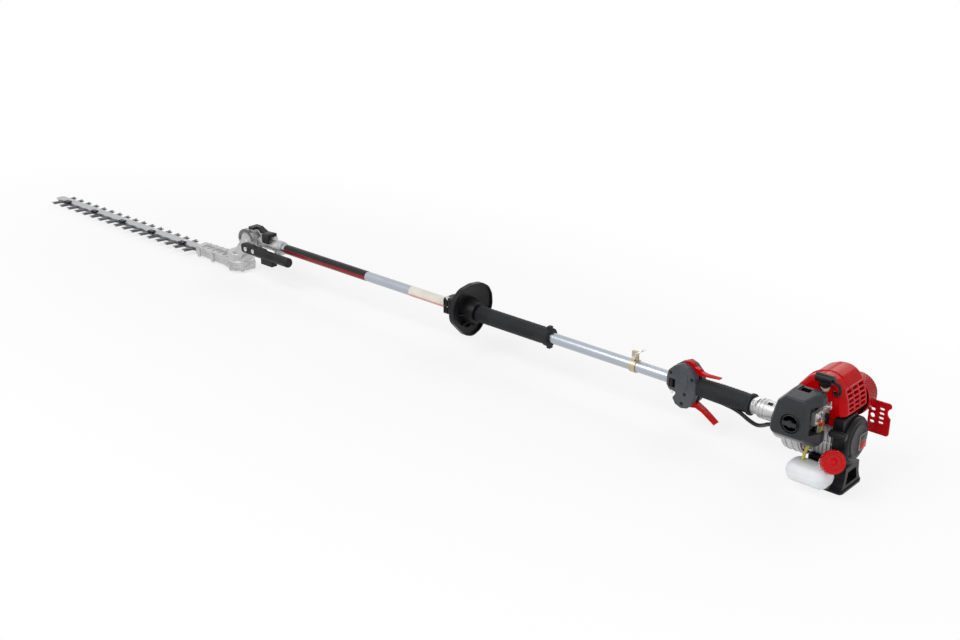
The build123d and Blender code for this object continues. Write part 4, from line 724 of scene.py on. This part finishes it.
# %% Pips on the grips
PIP = [(0, 1.5), (0.45, 1.35), (0.8, 0.85), (0.95, 0.3)]
PIP_PITCH, PIPS_AROUND, PIP_SINK = 6.4, 20, 0.25
GRIP_R, SWELL_R = 17.0, 18.0


def pips(name, x, radius, leave=()):
    """Low domes round a grip; radius gives its radius at a station, leave a span of bare angles."""
    shape = bmesh.new()
    rows = int((x[1] - x[0]) / PIP_PITCH)
    for row in range(rows + 1):
        station = x[0] + PIP_PITCH * row
        for k in range(PIPS_AROUND):
            angle = 360.0 * (k + 0.5 * (row % 2)) / PIPS_AROUND
            if leave and leave[0] < angle < leave[1]:
                continue
            out = outward(math.radians(angle))
            foot = at(station, 0, 0) + out * (radius(station) - PIP_SINK) / MM
            turned(shape, PIP, foot, out, 8)
    return piece(name, shape, "grip_rubber", "frame", crisp=80.0)


def front_radius(x):
    """Radius of the front grip, which is straight."""
    return GRIP_R


def rear_radius(x):
    """Radius of the rear grip, which swells a little in the middle."""
    front_x, middle_x = -284.6, -239.6
    if x < middle_x:
        return GRIP_R + (x - front_x) / 45.0
    return SWELL_R - (x - middle_x) * 0.5 / 55.6


grip_parts = [
    pips("front_grip_pips", (-818, -652), front_radius),
    pips("rear_grip_pips", (-279, -190), rear_radius, (262, 326)),
]
print("grip parts:", [(part.name, len(part.data.vertices)) for part in grip_parts])

# %% [markdown]
# ## Controls
# The throttle housing is two grey halves. Its near side carries a raised panel, the joint between
# the halves shows as a dark line on the nose, and a small wire bail sits in the notch below the
# pole.

# %% Panel, joint line and bail
PANEL = [(-324, 22), (-315, 31), (-304, 27), (-300, 12), (-303, -6), (-320, -7)]
PANEL_MIDDLE, PANEL_INSET = (-312.0, 12), 0.14
NOSE_LINE = ((-335, 33.3), (-344.4, 23.6), (-347.9, 11.5))
CHIN_LINE = ((-326.5, -18.6), (-333, -28.9), (-328.6, -36.4))
BAIL_X, BAIL_Y, BAIL_Z, BAIL_R, BAIL_LEAN = -337.5, -15.0, -17.0, 4.0, 1.5


def housing_panel():
    shape = bmesh.new()
    plate(shape, [at(x, -18.6, z) for x, z in PANEL], (0, -0.7, 0))
    keep, (mid_x, mid_z) = 1 - PANEL_INSET, PANEL_MIDDLE
    inner = [(x * keep + mid_x * PANEL_INSET, z * keep + mid_z * PANEL_INSET) for x, z in PANEL]
    plate(shape, [at(x, -19.2, z) for x, z in inner], (0, -0.55, 0))
    return piece("housing_panel", shape, "grey_plastic", "frame")


def housing_joint():
    shape = bmesh.new()
    for line in (NOSE_LINE, CHIN_LINE):
        wire(shape, [at(x, 0, z) for x, z in line], 0.5, 8)
    return piece("housing_joint", shape, "seam_dark", "frame")


def wire_bail():
    shape = bmesh.new()
    ring = []
    for t in circle(32):
        c, s = math.cos(t), math.sin(t)
        ring.append(at(BAIL_X + BAIL_R * c, BAIL_Y - BAIL_LEAN * c, BAIL_Z + BAIL_R * s))
    wire(shape, ring, 0.9, 8, closed=True)
    return piece("wire_bail", shape, "zinc_steel", "frame")


control_parts = [housing_panel(), housing_joint(), wire_bail()]
print("control parts:", ", ".join(part.name for part in control_parts))

# %% [markdown]
# ## Clutch neck
# The bright neck in front of the engine is turned and shows ring lines, three cooling slots drawn
# as dark painted shade, and the screw that pinches the collar on the pole. Ribs run from the neck
# on to the bell.


# %% Rings, painted slot shade, pinch screw and bell ribs
def neck_rings():
    shape = bmesh.new()
    for x, radius in ((-158.5, 18.3), (-151.0, 18.3), (-129.0, 18.6), (-122.5, 18.6)):
        ring = [(0, 17.2), (0.5, radius), (2.6, radius), (3.1, 17.2)]
        turned(shape, ring, at(x, 0, 0), ALONG, 56)
    collar = [(0, 14.2), (0.4, 15.2), (3.4, 15.2), (3.8, 14.2)]
    turned(shape, collar, at(-173, 0, 0), ALONG, 56)
    bell = ((-117.5, 16.5), (-117.5, 37.0), (-120.0, 34.0), (-124.0, 17.0))
    for turn in range(18, 360, 36):
        rib(shape, math.radians(turn), bell, 2.4)
    return piece("neck_rings", shape, "cast_alloy", "frame")


def neck_slots():
    shape = bmesh.new()
    # Thin dark shells on the neck where the cooling slots are: painted shade, not openings.
    for start in (56.0, 176.0, 296.0):
        sleeve(shape, (-144, -134), 17.3, 17.62, start, start + 22, 12)
    return piece("neck_slots", shape, "seam_dark", "frame")


def pinch_screw():
    shape = bmesh.new()
    head = [(-3, 3.6), (3.2, 3.6), (3.8, 3.0), (3.8, 1.8), (1.6, 1.6)]
    turned(shape, head, at(-167, -11.5, 9.5), (0, -1, 0.3), 24)
    block(shape, at(-171.5, -11.8, 6.0), at(-162.5, 3, 17.2), 1.4)
    return piece("pinch_screw", shape, "zinc_steel", "frame")


neck_parts = [neck_rings(), neck_slots(), pinch_screw()]
print("neck parts:", ", ".join(part.name for part in neck_parts))

# %% [markdown]
# ## Air cleaner
# The black hood carries a wing knob in a round recess. A bead runs round the recess, and the knob
# has a raised ring and a hub. All of them are turned shapes, so they take a profile each.

# %% Bead and knob ring
KNOB_X, KNOB_Z = -45, 48


def cover_bead():
    shape = bmesh.new()
    bead = [(-1, 19.6), (0.6, 19.2), (1.0, 18.4), (0.6, 17.4), (-1, 17.2)]
    turned(shape, bead, at(KNOB_X, -112, KNOB_Z), NEAR, 56)
    return piece("cover_bead", shape, "cover_black", "frame")


def knob_ring():
    shape = bmesh.new()
    ring = [(-0.8, 15.6), (0.7, 15.4), (1.1, 14.8), (0.7, 13.6), (-0.8, 13.2)]
    hub = [(0, 6.2), (2.6, 5.8), (3.0, 5.0), (3.0, 3.4), (2.0, 3.0)]
    turned(shape, ring, at(KNOB_X, -111, KNOB_Z), NEAR, 56)
    turned(shape, hub, at(KNOB_X, -111.5, KNOB_Z), NEAR, 32)
    return piece("knob_ring", shape, "cover_black", "cover_knob")


cleaner_parts = [cover_bead(), knob_ring()]
print("air cleaner parts:", ", ".join(part.name for part in cleaner_parts))

# %% [markdown]
# ## Shroud and muffler guard
# The red shroud is stiffened by a soft rib that runs over its dome and by a lattice across the
# cooling slots at the back. The lower half of the fan case is a bare casting. The round muffler
# guard is perforated, and its holes are drawn as dark dots of painted shade set into the curve.

# %% Dome ribs, lattice, fan skirt and painted shade of the guard holes
DOME_TOP = [(-79.6, 80), (-60, 103), (-40, 111.8), (-22, 112.8), (-7.2, 105.8), (2.8, 92.8)]
DOME_REAR = [(2.8, 92.8), (9.8, 73), (12.6, 54)]
LATTICE_Y = (-24.5, -4.0, 16.0, 36.5)
LATTICE_Z = (51.5, 60, 68, 76, 84, 92.5)
GUARD_CORNER_X, GUARD_CORNER_Z, GUARD_CORNER_R = -19, 53, 33.0
HOLE_ROWS, HOLES_IN_ROW, HOLE_TURN = 5, 14, 9.2
CURVE_STEPS = 6


def between_points(p, q, r, s, t):
    """A number on the soft curve from q to r, where p and s are the ones before and after."""
    square, cube = 2 * p - 5 * q + 4 * r - s, 3 * q - p - 3 * r + s
    return 0.5 * (2 * q + (r - p) * t + square * t**2 + cube * t**3)


def smooth_run(points):
    """Points on a soft curve through the given ones."""
    ends = [points[0]] + points + [points[-1]]
    run = []
    for four in zip(ends, ends[1:], ends[2:], ends[3:]):
        for i in range(CURVE_STEPS):
            run.append(tuple(between_points(*axis, i / CURVE_STEPS) for axis in zip(*four)))
    return run + [points[-1]]


def dome_ribs():
    shape = bmesh.new()
    wire(shape, [at(x, -11.0, z - 1.6) for x, z in smooth_run(DOME_TOP)], 2.4, 12)
    return piece("dome_ribs", shape, "red_plastic", "frame")


def rear_face_x(z):
    """Where the shroud's rear face is at a height."""
    for (x1, z1), (x2, z2) in zip(DOME_REAR, DOME_REAR[1:]):
        if z2 <= z <= z1:
            return x1 + (x2 - x1) * (z1 - z) / (z1 - z2)
    return DOME_REAR[0][0] if z > DOME_REAR[0][1] else DOME_REAR[-1][0]


def lattice():
    shape = bmesh.new()
    for y in LATTICE_Y:
        wire(shape, [at(rear_face_x(z) + 0.2, y, z) for z in LATTICE_Z], 1.7, 10)
    for z in LATTICE_Z:
        wire(shape, [at(rear_face_x(z) + 0.2, y, z) for y in LATTICE_Y], 1.3, 10)
    return piece("lattice", shape, "lattice_red", "frame")


def fan_skirt():
    shape = bmesh.new()
    sleeve(shape, (-92.4, -55.6), 49.6, 50.7, -178, -4, 48)
    for x in (-86.0, -74.0, -62.0):
        sleeve(shape, (x, x + 2.2), 50.4, 51.6, -174, -8, 48)
    return piece("fan_skirt", shape, "cast_alloy", "frame")


def guard_holes():
    shape = bmesh.new()
    # Each dark dot is painted shade where the guard has a hole.
    hole = [(-0.4, 1.5), (0.22, 1.5), (0.22, 1.15), (-0.3, 0.9)]
    for row in range(HOLE_ROWS):
        middle = at(GUARD_CORNER_X, 52.5 + 5.4 * row, GUARD_CORNER_Z)
        for k in range(HOLES_IN_ROW):
            a = math.radians(-4 + HOLE_TURN * k + HOLE_TURN / 2 * (row % 2))
            out = Vector((math.cos(a), 0, math.sin(a)))
            turned(shape, hole, middle + out * GUARD_CORNER_R / MM, out, 12)
    return piece("guard_holes", shape, "seam_dark", "frame")


shroud_parts = [dome_ribs(), lattice(), fan_skirt(), guard_holes()]
print("shroud parts:", ", ".join(part.name for part in shroud_parts))

# %% [markdown]
# ## Starter, tank and small engine parts
# On the starter's back there are a hub, two screws and a plain label of three blocks. The blown
# tank shows the seam where its two mould halves met. Fins stand on the crankcase, the cable ends
# in a ferrule and the hose in a collar.

# %% Starter face, label and handle rings
STARTER_X = 24  # the starter's back face
ROPE_Z = 23.9


def starter_face():
    shape = bmesh.new()
    hub = [(-1, 30.5), (0.5, 30.5), (1.4, 28.5), (1.6, 26.0), (1.0, 24.5), (0.4, 22.0)]
    rim = [(-4, 39.0), (-3.6, 40.6), (-1.4, 40.6), (-1.0, 39.0)]
    rope_eye = [(-1, 4.6), (1.2, 4.6), (1.7, 4.0), (1.7, 2.9)]
    turned(shape, hub, at(STARTER_X, 0, 0), ALONG, 72)
    turned(shape, rim, at(3.5, 0, 0), ALONG, 72)
    turned(shape, rope_eye, at(10, -41.6, ROPE_Z), NEAR, 24)
    block(shape, at(-2.2, -43.0, 43.4), at(15.8, 5.0, 46.2), 0.9)
    return piece("starter_face", shape, "black_plastic", "frame")


def starter_screws():
    shape = bmesh.new()
    head = [(-2, 4.2), (1.6, 4.2), (2.4, 3.2), (2.4, 1.9), (1.0, 1.7)]
    for y, z in ((-22.5, -21.5), (25, 17)):
        turned(shape, head, at(STARTER_X - 0.8, y, z), ALONG, 24)
    return piece("starter_screws", shape, "black_metal", "frame")


def label_block(name, y, z, lift, finish):
    shape = bmesh.new()
    block(shape, at(STARTER_X - 0.8, y[0], z[0]), at(STARTER_X + lift, y[1], z[1]), 0.25)
    return piece(name, shape, finish, "frame")


def handle_rings():
    shape = bmesh.new()
    ring = [(0, 6.2), (0.6, 6.95), (1.8, 6.95), (2.4, 6.2)]
    for i in range(6):
        turned(shape, ring, at(1.4 + 3.6 * i, -52, ROPE_Z), ALONG, 32)
    return piece("handle_rings", shape, "black_plastic", "starter_handle")


starter_parts = [
    starter_face(),
    starter_screws(),
    handle_rings(),
    label_block("label_frame", (4.0, 28.0), (-22.0, 6.0), 2.0, "label_grey"),
    label_block("label_dark", (5.5, 26.5), (-6.5, 4.5), 2.4, "sleeve_black"),
    label_block("label_red", (5.5, 26.5), (-20.5, -7.5), 2.4, "red_plastic"),
]
print("starter parts:", ", ".join(part.name for part in starter_parts))

# %% Tank seam, cap ring, fins, carburettor parts and collar
CARB_X = -14  # the carburettor's linkage side
FILLER = Vector((0.55, -0.65, 0.52)).normalized()
CAP_FACE = at(20, -73, -14)
CORNER_STEPS = 8


def rounded_loop(x, y, corner):
    """Points (x, y) round a rectangle with rounded corners."""
    points = []
    turns = ((x[1], y[1], 0), (x[0], y[1], 90), (x[0], y[0], 180), (x[1], y[0], 270))
    for edge_x, edge_y, first in turns:
        mid_x = edge_x - math.copysign(corner, edge_x - sum(x) / 2)
        mid_y = edge_y - math.copysign(corner, edge_y - sum(y) / 2)
        for i in range(CORNER_STEPS + 1):
            a = math.radians(first + 90 * i / CORNER_STEPS)
            points.append((mid_x + corner * math.cos(a), mid_y + corner * math.sin(a)))
    return points


def tank_seam():
    shape = bmesh.new()
    loop = rounded_loop((-66, 12), (-82, -37), 17)
    wire(shape, [at(x, y, -57) for x, y in loop], 0.9, 8, closed=True)
    return piece("tank_seam", shape, "tank_plastic", "frame")


def cap_ring():
    shape = bmesh.new()
    ring = [(-1, 15.5), (0.7, 15.5), (1.3, 14.8), (1.3, 12.6), (0.2, 12.0)]
    hub = [(-1, 6.6), (0.9, 6.2), (1.5, 5.2), (1.5, 2.4), (1.0, 2.0)]
    turned(shape, ring, CAP_FACE, FILLER, 48)
    turned(shape, hub, CAP_FACE, FILLER, 32)
    return piece("cap_ring", shape, "red_plastic", "fuel_cap")


def case_fins():
    shape = bmesh.new()
    for i in range(7):
        x = -53.0 + 7.2 * i
        block(shape, at(x, -36.0, -28), at(x + 2.4, -30, 22), 0.5)
    block(shape, at(-55, -34.6, -8), at(-5, -31, -4), 0.6)
    return piece("case_fins", shape, "cast_alloy", "frame")


def carburettor_parts():
    shape = bmesh.new()
    spindle = [(-1, 3.0), (6, 3.0), (6.6, 2.4)]
    dial = [(-1, 6.0), (1.6, 6.0), (2.2, 5.4), (2.2, 3.0), (1.2, 2.8)]
    screw = [(-1, 2.6), (2.0, 2.6), (2.6, 2.0), (2.6, 1.2), (1.4, 1.0)]
    ferrule = [(-9, 3.8), (-8, 4.9), (-2, 4.9), (-1, 3.8)]
    turned(shape, spindle, at(CARB_X, -43, 64), ALONG, 24)
    block(shape, at(-10.4, -46, 60), at(-8.6, -40, 76), 0.5)
    turned(shape, dial, at(CARB_X, -75, 59), ALONG, 28)
    block(shape, at(-14.4, -70, 50), at(-11.6, -62, 53.5), 0.5)
    for y, z in ((-56, 66), (-66, 62), (-66, 47), (-82, 48), (-42, 46)):
        turned(shape, screw, at(CARB_X, y, z), ALONG, 20)
    turned(shape, ferrule, at(-49.4, -50, 53), (20.6, 4.0, 29.0), 24)
    return piece("carburettor_parts", shape, "zinc_steel", "frame")


def hose_collar():
    shape = bmesh.new()
    collar = [(-3.4, 3.0), (-3.0, 4.4), (3.0, 4.4), (3.4, 3.0)]
    turned(shape, collar, at(-18.8, -50.8, 34.2), (0.13, 0.13, 1.0), 24)
    block(shape, at(-14.6, -80.5, 44.5), at(-10.8, -70.5, 51.0), 0.8)
    return piece("hose_collar", shape, "collar_orange", "frame")


engine_parts = [tank_seam(), cap_ring(), case_fins(), carburettor_parts(), hose_collar()]
print("engine parts:", ", ".join(part.name for part in engine_parts))

# %% [markdown]
# ## Studio
# The ground of the picture is white, while the lamps stay at a plain level. The Light Path node
# makes that possible: what the camera and the reflections see of the floor and the surround is
# mixed towards white, and all other light still gets the plain grey ones. Near the tool some of
# the lit floor is left in the mix, so that it keeps its shadow.

# %% Floor, lamps and surround
WHITE = tone(1, 1, 1)
FLOOR_HALF = 14.0
SEEN_RAYS = ("Is Camera Ray", "Is Glossy Ray", "Is Transmission Ray")
LAMPS = {  # place, aim, size in metres, power in watts
    "key": ((-1.6, -2.6, 3.2), (-1.1, 0.0, 0.1), 2.6, 80.0),
    "fill": ((1.8, -2.2, 1.6), (-0.2, 0.0, 0.1), 1.8, 22.0),
    "back": ((-0.8, 2.6, 2.4), (-1.0, 0.0, 0.1), 2.4, 34.0),
}


def seen(recipe):
    """1 for light that the camera, a reflection or glass sees, else 0."""
    camera, glossy, glass = (recipe.node("ShaderNodeLightPath", out=label) for label in SEEN_RAYS)
    return (camera + glossy + glass).between(0.4, 0.6)


def studio_floor():
    f = Finish("studio_floor", roughness=0.9, specular_ior_level=0.1)
    f.join("Base Color", f.mix(f.noise(3.0, 2.0), tone(0.9, 0.9, 0.9), tone(0.93, 0.93, 0.93)))
    middle = {"Vector": f.place, "Location": (0.55, 0.0, 0.0), "Scale": (0.5, 1, 1)}
    spot = f.node("ShaderNodeMapping", None, middle)
    reach = f.node("ShaderNodeVectorMath", {"operation": "LENGTH"}, {0: spot}, out="Value")
    far = reach.between(0.25, 1.0)
    white = f.node("ShaderNodeEmission", None, {"Color": WHITE, "Strength": 1.0})
    ends = {0: seen(f) * (0.7 + far * 0.3), 1: Wire(f, f.shader.outputs[0]), 2: white}
    f.show("Material Output", f.node("ShaderNodeMixShader", None, ends))
    corners = [(x * FLOOR_HALF, y * FLOOR_HALF, 0) for x, y in ((-1, -1), (1, -1), (1, 1), (-1, 1))]
    mesh = bpy.data.meshes.new("floor")
    mesh.from_pydata(corners, [], [(0, 1, 2, 3)])
    floor = bpy.data.objects.new("floor", mesh)
    bpy.context.scene.collection.objects.link(floor)
    mesh.materials.append(f.material)


def lamp(name, place, aim, size, power):
    data = bpy.data.lights.new(name, "AREA")
    data.energy, data.size = power, size
    made = bpy.data.objects.new(name, data)
    made.location = place
    made.rotation_euler = (Vector(aim) - Vector(place)).to_track_quat("-Z", "Y").to_euler()
    bpy.context.scene.collection.objects.link(made)


def surround(level):
    world = bpy.data.worlds.new("surround")
    bpy.context.scene.world = world
    world.use_nodes = True
    r = Recipe(world.node_tree)
    plain = r.node("ShaderNodeBackground", None, {"Color": WHITE, "Strength": level})
    white = r.node("ShaderNodeBackground", None, {"Color": WHITE, "Strength": 1.0})
    r.show("World Output", r.node("ShaderNodeMixShader", None, {0: seen(r), 1: plain, 2: white}))


studio_floor()
for name, setup in LAMPS.items():
    lamp(name, *setup)
surround(0.4)
bpy.context.scene.view_settings.view_transform = "Standard"
print("studio lit by", len(LAMPS), "soft lamps")
